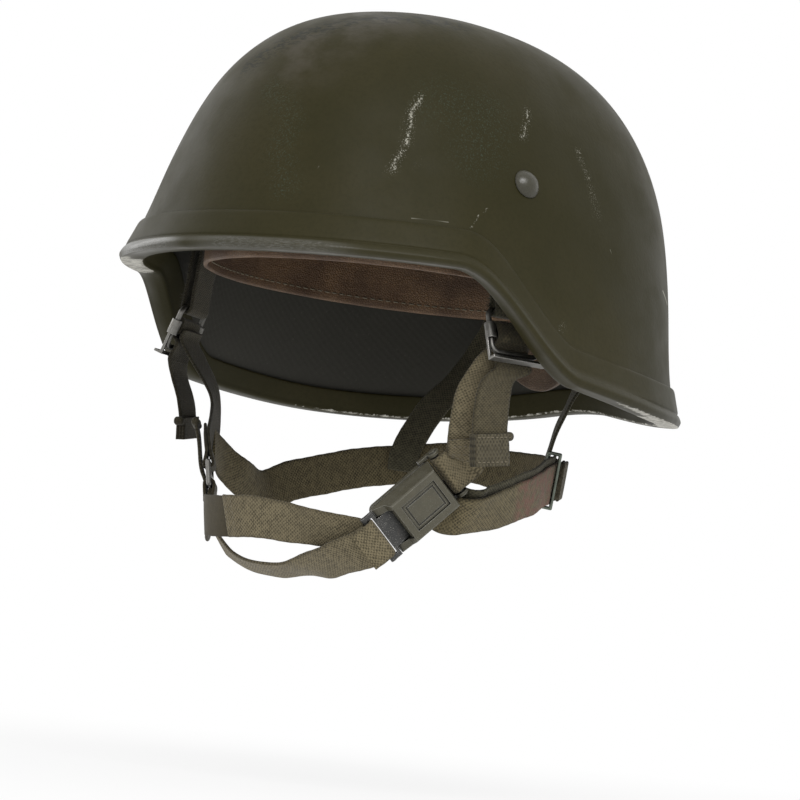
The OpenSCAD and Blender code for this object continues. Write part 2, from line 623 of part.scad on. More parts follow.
// Cover with sloped sides: a raised face round the button, and low cheeks beside the plug
cover_z = base_h + join;
plug_z = base_h + 1.5;
mouth_x = button_x + button_l + 1;
module buckle_cover() color(buckle_grey) on_buckle() difference() {
    intersection() {
        cross_profile(0, buckle_l) polygon([
            [-buckle_w / 2 + 0.2, cover_z], [-buckle_w / 2 + 0.2, cover_z + 1.4],
            [-face_w / 2 - 0.2, buckle_h - 0.6], [-face_w / 2 + 0.4, buckle_h],
            [face_w / 2 - 0.4, buckle_h], [face_w / 2 + 0.2, buckle_h - 0.6],
            [buckle_w / 2 - 0.2, cover_z + 1.4], [buckle_w / 2 - 0.2, cover_z]]);
        side_profile(buckle_w) polygon([
            [0.6, cover_z], [0.6, cover_z + 1.6], [face_x - 0.4, buckle_h - 0.6],
            [face_x + 0.2, buckle_h], [face_x + face_l - 0.2, buckle_h],
            [face_x + face_l + 0.4, buckle_h - 0.6], [face_x + face_l + 1.6, cover_z + 5],
            [buckle_l - 0.4, cover_z + 2.2], [buckle_l - 0.4, cover_z]]);
    }
    // The button's well, open to the latch space
    translate([button_x - run_clear, -button_w / 2 - run_clear, cover_z - 1])
        cube([button_l + 2 * run_clear, button_w + 2 * run_clear, buckle_h]);
    // The plug's way in, and the open top in front of the raised face
    translate([mouth_x - 2, -plug_w / 2 - clear, cover_z - 1])
        cube([buckle_l, plug_w + 2 * clear, plug_z + plug_t + 0.5 - cover_z + 1]);
    translate([face_x + face_l, -plug_w / 2 - clear, cover_z - 1])
        cube([buckle_l, plug_w + 2 * clear, buckle_h]);
}

// Button: a plate with a sunk line, and two posts that press the latch's wings
button_top = buckle_h - 0.7;
skirt_z = plug_z + plug_t + 2 * run_clear + button_travel;
post_w = 1.3;
leaf_t = 0.5;
leaf_z = base_h + 0.3;
wing_x = button_x + 5;
module release_button() color(buckle_grey) on_buckle() {
    translate([button_x, -button_w / 2, 0]) difference() {
        translate([0, 0, skirt_z]) cube([button_l, button_w, button_top - skirt_z]);
        translate([1.2, 1.2, button_top - 0.4]) difference() {
            cube([button_l - 2.4, button_w - 2.4, 1]);
            translate([0.7, 0.7, -1]) cube([button_l - 3.8, button_w - 3.8, 3]);
        }
    }
    for (y = [-button_w / 2, button_w / 2 - post_w])
        translate([wing_x, y, leaf_z + leaf_t + run_clear])
            cube([4, post_w, skirt_z - leaf_z - leaf_t + join]);
}

// Latch: a leaf spring fixed behind the pocket, with wings for the posts and a tooth for the plug
tooth_x = button_x + 12;
tooth_l = 3;
tooth_h = 2.7;
module latch_spring() color(steel_grey) on_buckle() {
    translate([button_x + 0.4, -3.2, base_h + join]) cube([2.4, 6.4, leaf_z - base_h]);
    translate([button_x + 0.4, -3.2, leaf_z]) cube([tooth_x + tooth_l - button_x - 0.4, 6.4, leaf_t]);
    translate([wing_x + 0.4, -button_w / 2 + 0.3, leaf_z]) cube([3.2, button_w - 0.6, leaf_t]);
    translate([tooth_x, 2.4, leaf_z]) rotate([90, 0, 0]) linear_extrude(4.8)
        polygon([[0, 0], [tooth_l, 0], [0.6, tooth_h], [0, tooth_h]]);
}

// Plug: a steel plate with a narrow tongue, a window for the tooth and a bar for the chin straps
tongue_x = button_x + 6;
plate_x = button_x + button_l + 0.8;
plate_end = buckle_l + 1.5;
chin_bar_x = buckle_l + 4.9;
chin_bar_d = 2.6;
arm_in = web_w / 2 + 0.3;
module buckle_plug() color(steel_grey) on_buckle() {
    translate([0, 0, plug_z]) difference() {
        union() {
            translate([tongue_x, 0, 0]) slab(plate_x - tongue_x + 3, tongue_w, plug_t, 2);
            translate([plate_x, 0, 0]) slab(plate_end - plate_x, plug_w, plug_t, 1);
            translate([buckle_l + 0.3, -arm_in - arm_w, 0])
                cube([plate_end - buckle_l - 0.3, 2 * (arm_in + arm_w), plug_t]);
            for (y = [-arm_in - arm_w, arm_in]) translate([buckle_l + 0.3, y, 0])
                cube([chin_bar_x - buckle_l - 0.3, arm_w, plug_t]);
        }
        translate([tooth_x - 0.4, -2.7, -1]) cube([tooth_l + 0.8, 5.4, plug_t + 2]);
    }
    translate([chin_bar_x, -arm_in - arm_w, plug_z + plug_t / 2]) rotate([-90, 0, 0])
        cylinder(d = chin_bar_d, h = 2 * (arm_in + arm_w));
}

// STRAPS

// The left strap leaves its adjuster, follows the cheek and closes round the buckle's rear bar
left_bar = on_buckle_at([rear_bar_x, rear_y, rear_bar_z]);
left_loop_l = 8.8;
left_loop_end = on_buckle_at([rear_bar_x - left_loop_l, rear_y, rear_bar_z + 0.6]);
left_cheek = [[89, -30, 16], [85, -33.5, 4], [81, -31, -10]];
left_cheek_face = [[0.95, -0.3, 0], [0.84, -0.42, -0.34], [0.83, -0.48, -0.28]];
module side_strap(a, z, lean, cheek, faces, loop_end, loop_out) webbing(
    concat([for (p = run_path) placed(a, z, lean, p)], cheek, [loop_end]),
    concat([for (n = run_faces) turned(a, lean, n)], faces, [loop_out]), steps = 4);
module left_strap() color(web_green) {
    side_strap(left_loop_a, left_top_z, left_lean, left_cheek, left_cheek_face, left_loop_end, buckle_z);
    seat(left_bar, left_loop_end - left_bar, buckle_z) web_loop(rear_bar_d, left_loop_l);
}

// The right strap is like it, as far as the ring on the cheek. It is drawn on the left and mirrored.
ring_pos = [56.6, -51.2, -37.5];
ring_x = unit([-0.15, 0.05, -0.99]);
ring_z = unit(cross(ring_x, cross([0.72, -0.68, -0.10], ring_x)));
ring_y = cross(ring_z, ring_x);
ring_l = 10;
ring_w = web_w + 6;
ring_bar_d = 2.2;
ring_gap = ring_l / 2;
function on_ring(p) = ring_pos + ring_x * p[0] + ring_y * p[1] + ring_z * p[2];
module junction_ring() color(steel_grey) mirror([1, 0, 0]) seat(ring_pos, ring_x, ring_y) {
    for (x = [-ring_gap, 0, ring_gap]) translate([x, -ring_w / 2, 0]) rotate([-90, 0, 0])
        cylinder(d = ring_bar_d, h = ring_w);
    for (y = [-ring_w / 2, ring_w / 2]) translate([-ring_gap, y, 0]) rotate([0, 90, 0])
        cylinder(d = ring_bar_d, h = ring_l);
    for (x = [-ring_gap, ring_gap], y = [-ring_w / 2, ring_w / 2]) translate([x, y, 0])
        sphere(d = ring_bar_d, $fn = 24);
}
right_loop_l = 9;
right_loop_end = on_ring([-ring_gap - right_loop_l, 0, 0]);
right_cheek = [[83.5, -40.5, 17], [76, -37, 4], [69.5, -38.5, -10]];
right_cheek_face = [[0.9, -0.4, -0.1], [0.88, -0.45, -0.2], [0.8, -0.58, -0.15]];
module right_strap() color(web_green) mirror([1, 0, 0]) {
    side_strap(right_loop_a, right_top_z, right_lean, right_cheek, right_cheek_face, right_loop_end, ring_z);
    seat(on_ring([-ring_gap, 0, 0]), -ring_x, ring_z) web_loop(ring_bar_d, right_loop_l);
}

// A short tail goes back up the right cheek from the ring's middle bar and ends in a knob
cheek_out = ring_bar_d / 2 + 2 * clear + web_t;
module cheek_tail() color(web_green) mirror([1, 0, 0]) {
    end = on_ring([-24, 0, cheek_out + 1.4]);
    webbing([on_ring([ring_gap / 2, 0, ring_bar_d / 2 + clear]), on_ring([-ring_gap, 0, cheek_out]),
        on_ring([-ring_gap - right_loop_l - 2, 0, cheek_out + 0.6]), end],
        [ring_z, ring_z, ring_z, ring_z], w = web_w - 2, steps = 4);
    seat(end, ring_y, ring_z) translate([-web_w / 2 + 1, -1.4, web_t / 2])
        rotate([0, 90, 0]) cylinder(d = knob_d, h = web_w - 2);
}

// CHIN: a yoke from the ring, an upper strap on the chin and a lower one under it, both to the plug

chin_bar = on_buckle_at([chin_bar_x, 0, plug_z + plug_t / 2]);
chin_loop_l = 6;
chin_loop_end = on_buckle_at([chin_bar_x + chin_loop_l, 0, plug_z + plug_t / 2 - 1]);
// Mirrors a point or direction from the left to the right
function right_of(p) = [-p[0], p[1], p[2]];
yoke_loop_l = 5;
yoke_path = [right_of(on_ring([ring_gap + yoke_loop_l, 0, 0])), [-50, -55.5, -57.8], [-41, -64, -56.4],
    [-33, -72.5, -56.6], [-22, -76, -57], [-6, -77, -56.8]];
yoke_face = [right_of(ring_z), [-0.8, -0.6, -0.1], [-0.8, -0.58, -0.1], [-0.6, -0.8, -0.15],
    [-0.25, -0.95, -0.2], [0, -0.93, -0.33]];
module chin_yoke() color(web_green) {
    webbing(yoke_path, yoke_face, steps = 4);
    mirror([1, 0, 0]) seat(on_ring([ring_gap, 0, 0]), ring_x, ring_z) web_loop(ring_bar_d, yoke_loop_l);
}
upper_path = [[-11.5, -79.2, -56.6], [-5, -79.3, -56.4], [3.5, -77.8, -56.2], [19, -72, -57.4],
    chin_bar + [-24.04, -10.92, 2.96], chin_bar + [-15.04, -5.42, 1.06], chin_bar + [-8.04, -0.42, -0.44]];
upper_face = [[-0.05, -0.93, -0.3], [0, -0.93, -0.33], [0.2, -0.92, -0.32], [0.25, -0.85, -0.45],
    [0.4, -0.67, -0.62], [0.6, -0.6, -0.52], [0.8, -0.45, -0.35]];
module chin_strap_upper() color(web_green) webbing(upper_path, upper_face, steps = 4);
lower_path = [[-37.3, -60.8, -63.4], [-31.5, -61.5, -68.5], [-20, -60, -74.8], [-2.5, -59, -77.5],
    [11.5, -57, -76.2], chin_bar + [-30.54, -3.42, -12.44], chin_bar + [-16.04, -4.42, -8.44]];
lower_face = [[-0.75, -0.5, -0.45], [-0.5, -0.6, -0.6], [-0.35, -0.4, -0.83], [0.05, -0.25, -0.97],
    [0.15, -0.2, -0.97], [0.3, -0.5, -0.8], [0.6, -0.55, -0.6]];
module chin_strap_lower() color(web_green) {
    webbing(concat(lower_path, [chin_loop_end]), concat(lower_face, [buckle_z]), steps = 5);
    seat(chin_bar, chin_loop_end - chin_bar, buckle_z) web_loop(chin_bar_d, chin_loop_l);
}

// NAPE: the strap starts under the buckle, passes behind the neck and ends at the right cheek

nape_start = [on_buckle_at([9, 5, -clear - web_t]), on_buckle_at([6, 14, -5 * clear - web_t])];
nape_left = [[71, -15, -46.5], [73, 0, -42.5], [72.5, 14.5, -37], [68.5, 29.5, -32.5],
    [62, 43, -28], [55.5, 55, -25], [41, 70, -21.5], [21, 78.5, -19.5]];
nape_left_face = [[0.74, -0.15, -0.6], [0.92, 0.04, -0.39], [0.94, 0.19, -0.27], [0.93, 0.32, -0.17],
    [0.9, 0.41, -0.14], [0.79, 0.6, -0.12], [0.55, 0.83, -0.1], [0.25, 0.96, -0.1]];
nape_end = [[65, -18, -38], [61, -36, -34]];
nape_end_face = [[0.98, -0.15, -0.1], [0.9, -0.4, -0.1]];
function reverse(list) = [for (k = [len(list) - 1:-1:0]) list[k]];
// On the right the strap runs a little higher and closer to the neck
nape_shift = [-2, 0, 4];
module nape_strap() color(web_green) {
    right = reverse([for (k = [1:len(nape_left) - 1]) right_of(nape_left[k] + nape_shift)]);
    right_face = reverse([for (k = [1:len(nape_left) - 1]) right_of(nape_left_face[k])]);
    webbing(concat(nape_start, nape_left, [[0, 81, -18]], right, [for (p = nape_end) right_of(p)]),
        concat([buckle_z, buckle_z], nape_left_face, [[0, 1, -0.1]], right_face,
            [for (p = nape_end_face) right_of(p)]), steps = 3);
}

// The strap's tail lies behind it, a little higher, and ends just past the keeper
tail_rise = 4.5;
function upward(out) = unit([0, 0, 1] - out * out[2]);
tail_stops = [for (q = [0.1:0.4:5.3]) q];
function nape_out(q) = unit(along(nape_left_face, floor(q), q - floor(q)));
function behind(q) = along(nape_left, floor(q), q - floor(q))
    - nape_out(q) * (web_t + clear + max(1.2 - 0.5 * q, 0)) + upward(nape_out(q)) * tail_rise;
module nape_strap_tail() color(web_green)
    webbing([for (q = tail_stops) behind(q)], [for (q = tail_stops) nape_out(q)], w = web_w - 3,
        steps = 1);

// A wire keeper slides along the strap and its tail
keeper_at = 0.6;
keeper_pos = along(nape_left, 4, keeper_at);
keeper_face = unit(nape_left_face[4] * (1 - keeper_at) + nape_left_face[5] * keeper_at);
keeper_dir = unit(nape_left[5] - nape_left[4]);
keeper_wire = 1.6;
keeper_h = web_w + 6;
keeper_gap = 2 * web_t + 3 * clear + keeper_wire;
module nape_keeper() color(steel_grey)
    seat(keeper_pos + upward(keeper_face) * tail_rise * 0.35 - keeper_face * clear / 2,
        cross(keeper_face, keeper_dir), keeper_face) {
        for (x = [-keeper_h / 2, keeper_h / 2]) translate([x, -keeper_gap / 2, 0]) rotate([-90, 0, 0])
            cylinder(d = keeper_wire, h = keeper_gap);
        for (y = [-keeper_gap / 2, keeper_gap / 2]) translate([-keeper_h / 2, y, 0]) rotate([0, 90, 0])
            cylinder(d = keeper_wire, h = keeper_h);
        for (x = [-keeper_h / 2, keeper_h / 2], y = [-keeper_gap / 2, keeper_gap / 2])
            translate([x, y, 0]) sphere(d = keeper_wire, $fn = 24);
    }

// Two hangers carry the nape strap from the rear of the suspension band
hanger_a = 160;
hanger_from = 5.55;
hanger_low = along(nape_left, 5, hanger_from - 5) - nape_out(hanger_from) * (2 * web_t + 5 * clear);
hanger_path = [hanger_low + [0, 0, -4], hanger_low + [-1, 1.5, 9], [41.5, 74, 8], [38.5, 86, 22],
    [36, 98.5, 40], [31.5, 104, 57], oval(hanger_a, band_out + clear, band_z + 10)];
hanger_face = [nape_out(hanger_from), nape_out(hanger_from), [0.55, 0.8, -0.2], [0.45, 0.85, -0.3],
    [0.4, 0.9, -0.2], oval_out(hanger_a), oval_out(hanger_a)];
module rear_hangers() color(web_green) for (m = [0, 1]) mirror([m, 0, 0])
    webbing([for (k = [0:len(hanger_path) - 1]) hanger_path[k] + m * max(1 - k / 4, 0) * nape_shift],
        hanger_face, w = web_w - 5, steps = 3);

shell();
rim_trim();
liner_screws();
liner_washers();
suspension_band();
headband();
headband_clips();
crown_webbing();
crown_pad();
nape_pad();
loop_rivets();
left_anchor_loop();
right_anchor_loop();
left_frame();
right_frame();
left_slide_bar();
right_slide_bar();
left_strap();
right_strap();
left_tail();
right_tail();
buckle_base();
buckle_cover();
release_button();
latch_spring();
buckle_plug();
chin_yoke();
chin_strap_upper();
chin_strap_lower();
junction_ring();
cheek_tail();
nape_strap();
nape_strap_tail();
nape_keeper();
rear_hangers();
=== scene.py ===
# %% [markdown]
# An old laminate combat helmet with its chin harness. A imported CAD model gives every piece its
# place and size. This script dresses it: a smooth painted shell, woven straps, leather and worn steel.

# %% Load the imported model and bake its placement
from collections import namedtuple
import bpy
import numpy as np
from mathutils import Matrix


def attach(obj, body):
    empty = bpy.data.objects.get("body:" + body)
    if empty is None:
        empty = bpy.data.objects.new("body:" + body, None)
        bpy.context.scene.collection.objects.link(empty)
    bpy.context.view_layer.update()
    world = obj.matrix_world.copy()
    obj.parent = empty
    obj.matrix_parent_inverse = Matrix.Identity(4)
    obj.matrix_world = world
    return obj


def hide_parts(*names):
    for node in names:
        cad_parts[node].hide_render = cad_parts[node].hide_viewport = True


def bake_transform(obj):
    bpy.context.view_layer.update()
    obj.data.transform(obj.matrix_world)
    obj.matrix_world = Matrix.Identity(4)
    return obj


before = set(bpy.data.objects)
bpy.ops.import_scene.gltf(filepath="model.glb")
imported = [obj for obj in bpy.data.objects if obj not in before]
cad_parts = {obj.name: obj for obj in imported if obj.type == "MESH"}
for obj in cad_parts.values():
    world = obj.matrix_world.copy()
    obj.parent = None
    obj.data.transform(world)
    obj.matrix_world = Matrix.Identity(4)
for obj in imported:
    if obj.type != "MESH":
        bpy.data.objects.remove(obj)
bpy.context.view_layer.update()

# %% [markdown]
# The camera comes first, because everything is judged through it. A long lens far away keeps the
# dome's sides nearly parallel, and its own axes are written out, so a slight roll is kept too.

# %% Camera
def aimed(place, look, up):
    """Matrix of a thing at a place that looks along look, with its top towards up."""
    look = look / np.linalg.norm(look)
    right = np.cross(look, up)
    right = right / np.linalg.norm(right)
    up = np.cross(right, look)
    return Matrix([[right[k], up[k], -look[k], place[k]] for k in range(3)] + [[0, 0, 0, 1]])


picture_pixels, focal_pixels, sensor_mm = 800.0, 3300.86, 36.0
lens = bpy.data.cameras.new("long lens")
lens.sensor_width = sensor_mm
lens.lens = focal_pixels * sensor_mm / picture_pixels
lens.clip_start, lens.clip_end = 0.1, 30.0
camera = bpy.data.objects.new("camera", lens)
bpy.context.collection.objects.link(camera)
camera.matrix_world = aimed(np.array([1.0393, -1.0730, -0.1127]), np.array([-0.6907, 0.7189, 0.0787]),
                            np.array([-0.0191, -0.1269, 0.9917]))
bpy.context.scene.camera = camera
bpy.context.scene.view_settings.view_transform = "Standard"
print("lens in millimetres:", round(lens.lens, 1))

# %% [markdown]
# Materials are built from a few node helpers. Each helper adds one node and wires its inputs: a
# socket is linked and a number is typed in. The helpers find the tree by the sockets they are given,
# so a material reads as a recipe.

# %% Node helpers
def node(tree, kind, inputs=None, **settings):
    """Adds a node. Inputs given as sockets are linked, the others are set as values."""
    made = tree.nodes.new(kind)
    for name, value in settings.items():
        setattr(made, name, value)
    for name, value in (inputs or {}).items():
        socket = made.inputs[name]
        if isinstance(value, bpy.types.NodeSocket):
            tree.links.new(value, socket)
        else:
            socket.default_value = value
    return made


def calc(operation, a, b=0.0):
    """One sum on two numbers or sockets, in the tree of the first socket."""
    tree = next(value.id_data for value in (a, b) if isinstance(value, bpy.types.NodeSocket))
    return node(tree, "ShaderNodeMath", {0: a, 1: b}, operation=operation).outputs[0]


def plus(a, b):
    """The sum of two values."""
    return calc("ADD", a, b)


def minus(a, b):
    """The first value less the second."""
    return calc("SUBTRACT", a, b)


def times(a, b):
    """The product of two values."""
    return calc("MULTIPLY", a, b)


def vectors(operation, a, b, output="Vector"):
    """One sum on two vectors; a scale takes a number as its second input."""
    second = "Scale" if operation == "SCALE" else 1
    tree = next(value.id_data for value in (a, b) if isinstance(value, bpy.types.NodeSocket))
    return node(tree, "ShaderNodeVectorMath", {0: a, second: b}, operation=operation).outputs[output]


def ramp(value, low, high, out_low=0.0, out_high=1.0):
    """Value between low and high becomes out_low to out_high, with a smooth start and end."""
    return node(value.id_data, "ShaderNodeMapRange",
                {"Value": value, "From Min": low, "From Max": high, "To Min": out_low, "To Max": out_high},
                interpolation_type="SMOOTHSTEP").outputs["Result"]


def noise(where, scale, detail=3.0, rough=0.55):
    """Soft random pattern; scale is lumps per metre."""
    return node(where.id_data, "ShaderNodeTexNoise",
                {"Vector": where, "Scale": scale, "Detail": detail, "Roughness": rough}).outputs["Fac"]


def mixed(share, a, b):
    """Colour a turning into colour b by share."""
    tree = share.id_data
    made = node(tree, "ShaderNodeMix", {"Factor": share}, data_type="RGBA")
    for socket, value in ((made.inputs[6], a), (made.inputs[7], b)):
        if isinstance(value, bpy.types.NodeSocket):
            tree.links.new(value, socket)
        else:
            socket.default_value = (*value, 1.0)
    return made.outputs[2]


def shaded(colour, factor):
    """The colour made darker or lighter by a factor."""
    return tuple(factor * c for c in colour)


def stretched(where, scale):
    """The coordinates made longer or shorter along each axis."""
    return node(where.id_data, "ShaderNodeMapping", {"Vector": where, "Scale": scale}).outputs[0]


def finish(name, **sockets):
    """A material with one principled shader, whose even settings are typed straight on it."""
    made = bpy.data.materials.new(name)
    made.use_nodes = True
    tree = made.node_tree
    shader = tree.nodes["Principled BSDF"]
    for key, value in sockets.items():
        shader.inputs[key.replace("_", " ")].default_value = value
    place = node(tree, "ShaderNodeTexCoord")
    return made, tree, shader, place


def feed(shader, **sockets):
    """Links each given socket to the shader's input of that name."""
    for key, value in sockets.items():
        shader.id_data.links.new(value, shader.inputs[key.replace("_", " ")])


def bumps(shader, height, distance):
    """Surface relief: distance is the depth in metres of a height of one."""
    made = node(shader.id_data, "ShaderNodeBump", {"Height": height, "Distance": distance})
    feed(shader, Normal=made.outputs[0])
    return made


def worn_edges(tree, radius, low=0.02, high=0.16):
    """Share of wear on sharp edges: how far a rounded normal leans from the true one."""
    rounded = node(tree, "ShaderNodeBevel", {"Radius": radius}, samples=6)
    flat = node(tree, "ShaderNodeNewGeometry")
    dot = vectors("DOT_PRODUCT", rounded.outputs[0], flat.outputs["Normal"], "Value")
    return ramp(minus(1.0, dot), low, high), rounded.outputs[0]


def jittered(where, scale, amount):
    """The coordinates pushed about by noise, so that straight marks turn ragged."""
    push = node(where.id_data, "ShaderNodeTexNoise", {"Vector": where, "Scale": scale, "Detail": 3.0})
    centred = vectors("SUBTRACT", push.outputs["Color"], (0.5, 0.5, 0.5))
    return vectors("ADD", where, vectors("SCALE", centred, amount))


def near_line(where, a, b, width):
    """One near the straight line from a to b, falling to zero at the given width, all in millimetres."""
    a, b = np.array(a) / 1000, np.array(b) / 1000
    along = b - a
    from_a = vectors("SUBTRACT", where, tuple(a))
    dot = vectors("DOT_PRODUCT", from_a, tuple(along / (along @ along)), "Value")
    share = calc("MAXIMUM", calc("MINIMUM", dot, 1.0), 0.0)
    gap = vectors("DISTANCE", from_a, vectors("SCALE", tuple(along), share), "Value")
    return ramp(gap, width / 1000, 0.0)


# %% [markdown]
# The paint is a dry, dark olive that scatters light and only shines at a grazing view. On the real
# shell it has fine orange peel, rubbed brown patches on the crown, and pale chips where it was hit. The
# rubbed patch along the crown's top outline is also lightened as a painted sheen, and on the rubber edge
# a painted highlight runs along the lip. Broad zones come from an attribute on the mesh, and fine noise
# breaks them into flecks.

# %% Shell paint
def shell_paint(name, edge_wear=False):
    """Dark olive paint, worn where the mesh's attribute says so.

    Its four numbers are pale chips, dark scuffs, rough skin and rubbed patches, which are also lightened
    as a painted sheen; on the rubber edge they are pale chips, polished lip with painted shine streaks,
    bared rubber and a painted highlight along the outer corner.
    """
    made, tree, shader, place = finish(name, Roughness=0.5, Specular_IOR_Level=0.09)
    where = place.outputs["Object"]
    zones = node(tree, "ShaderNodeAttribute", attribute_name="wear")
    zone = node(tree, "ShaderNodeSeparateColor", {"Color": zones.outputs["Color"]})
    if edge_wear:
        feed(shader, Specular_IOR_Level=ramp(zone.outputs["Green"], 0.1, 0.9, 0.09, 0.5))
    cloud = noise(where, 14, 4)
    grain = noise(where, 520, 2)
    base = mixed(ramp(cloud, 0.35, 0.7), (0.0258, 0.0232, 0.0085), (0.0335, 0.0292, 0.0118))
    base = mixed(ramp(grain, 0.4, 0.75, 0, 0.35), base, (0.020, 0.0185, 0.0065))
    patchy = ramp(noise(where, 60, 4), 0.35, 0.7, 0.55 if edge_wear else 0.0, 1.0)
    # painted sheen: this lightens the rubbed zone. On the shell it is a rubbed crown patch plus a painted sheen along
    # the top outline; on the rubber edge it is a painted highlight along the lip's outer corner
    rubbed_and_sheen = times(zones.outputs["Alpha"], patchy)
    base = mixed(times(rubbed_and_sheen, 0.8 if edge_wear else 0.6), base,
                 (0.21, 0.205, 0.19) if edge_wear else (0.075, 0.066, 0.050))
    if not edge_wear:
        strokes = noise(stretched(where, (260, 260, 900)), 1.0, 4, 0.7)
        dark = times(zone.outputs["Green"], ramp(strokes, 0.47, 0.55))
        base = mixed(times(dark, 0.9), base, (0.008, 0.009, 0.005))
        dots = times(zone.outputs["Blue"], ramp(noise(where, 1300, 3, 0.7), 0.55, 0.63))
        base = mixed(times(dots, 0.45), base, (0.060, 0.082, 0.062))
    flecks = noise(where, 1500, 3, 0.7)
    pale = times(zone.outputs["Red"], ramp(flecks, 0.58, 0.64))
    base = mixed(pale, base, (0.34, 0.33, 0.27))
    if edge_wear:
        ragged = plus(times(noise(where, 300, 7, 0.75), 1.1), times(zone.outputs["Blue"], 0.9))
        bare = ramp(ragged, 0.97, 1.10)
        chalk = mixed(ramp(noise(where, 420, 5, 0.7), 0.35, 0.65), (0.19, 0.18, 0.15),
                      (0.56, 0.545, 0.485))
        base = mixed(bare, base, chalk)
        # painted shine: pale streaks along the polished lip stand in for its highlight
        streaks = noise(stretched(where, (420, 420, 2600)), 1.0, 6, 0.75)
        painted_shine = ramp(plus(streaks, times(zone.outputs["Green"], 0.36)), 0.80, 1.0)
        base = mixed(times(painted_shine, 0.32), base, (0.20, 0.195, 0.18))
    feed(shader, Base_Color=base)
    gloss = ramp(noise(where, 45, 4), 0.3, 0.75, 0.44, 0.56)
    polish = times(zone.outputs["Green"], 0.24) if edge_wear else times(rubbed_and_sheen, 0.1)
    feed(shader, Roughness=minus(gloss, polish))
    peel = times(noise(where, 620, 2), 0.5)
    hide = times(times(noise(where, 1100, 2), 0.0 if edge_wear else zone.outputs["Blue"]), 2.2)
    height = plus(plus(peel, hide), times(pale, -1.2))
    bumps(shader, height, 0.00012)
    return made, tree, shader, where, base


paint, tree, shader, where, base = shell_paint("dark olive shell paint")
# each thin mark: from, to, width in millimetres, strength
thin_marks = [
    ((82.7, -81.6, 72.8), (91.5, -68.3, 73.2), 0.35, 0.5), ((96.6, -60.0, 71.0), (95.8, -54.6, 78.3), 0.45, 0.6),
    ((95.8, -54.6, 78.3), (96.1, -48.2, 83.3), 0.4, 0.5), ((91.6, 77.2, 66.0), (86.4, 87.4, 61.2), 0.8, 1.0),
    ((90.4, 9.4, 118.0), (90.8, 13.0, 117.6), 0.7, 0.9), ((93.0, 11.6, 112.3), (93.2, 14.0, 111.8), 0.6, 0.8),
    ((95.1, 13.2, 106.8), (95.1, 15.0, 106.4), 0.5, 0.7),
    ((104.0, 23.3, 76.1), (105.0, 25.0, 73.0), 0.3, 0.5), ((47.0, -104.0, 92.0), (45.5, -106.0, 86.0), 0.3, 0.4)]
straight_marks = (0, 3, 7, 8)  # fine scratches by their place in the list; the rest are ragged chips
trail = [(67.3, -66.6, 128.6), (67.6, -72.6, 120.5), (70.2, -75.3, 112.9), (71.4, -78.0, 105.2), (70.9, -81.8, 98.8),
         (71.1, -84.7, 93.0)]
thin_marks += [(a, b, 1.15, 1.3) for a, b in zip(trail[:-1], trail[1:])]
trail = [(83.1, -16.7, 131.6), (86.6, -19.9, 124.8), (88.9, -24.5, 117.6)]
thin_marks += [(a, b, 0.95, 1.1) for a, b in zip(trail[:-1], trail[1:])]
ragged_place = jittered(where, 420, 0.0030)
gaps = times(ramp(noise(where, 1250, 2), 0.47, 0.55), ramp(noise(where, 230, 2), 0.38, 0.5))
for count, (a, b, width, strength) in enumerate(thin_marks):
    straight = count in straight_marks
    line = times(near_line(where if straight else ragged_place, a, b, width), strength)
    base = mixed(line if straight else times(line, gaps), base, (0.36, 0.35, 0.29))
feed(shader, Base_Color=base)
edge_paint = shell_paint("worn paint on the rubber edge", edge_wear=True)[0]
print("paint materials:", paint.name, "and", edge_paint.name)

# %% [markdown]
# Inside, the laminate shows its coarse cloth through a thin coat. Two crossed waves on the mesh's
# own round-and-up coordinates give that basket weave.

# %% Inside of the shell
inner_skin, tree, shader, place = finish("coated laminate inside", Roughness=0.72)
across = node(tree, "ShaderNodeSeparateXYZ", {"Vector": place.outputs["UV"]})
cloth_pitch = 0.0042
warp = calc("SINE", times(across.outputs[0], 2 * np.pi / cloth_pitch))
weft = calc("SINE", times(across.outputs[1], 2 * np.pi / cloth_pitch))
basket = times(warp, weft)
where = place.outputs["Object"]
tone = mixed(noise(where, 25, 4), (0.016, 0.015, 0.0095), (0.026, 0.024, 0.016))
tone = mixed(ramp(noise(where, 700, 3), 0.62, 0.75, 0, 0.4), tone, (0.06, 0.056, 0.043))
feed(shader, Base_Color=tone)
bumps(shader, plus(times(basket, 0.5), noise(where, 800, 2)), 0.00006)


# %% [markdown]
# Webbing is told by its weave. A product of two sines, one across the strap and one along it, gives
# a chequer of raised threads. It reads the strap's own map, in metres, so the threads follow every
# bend. Fading, dust and dark edges come on top.

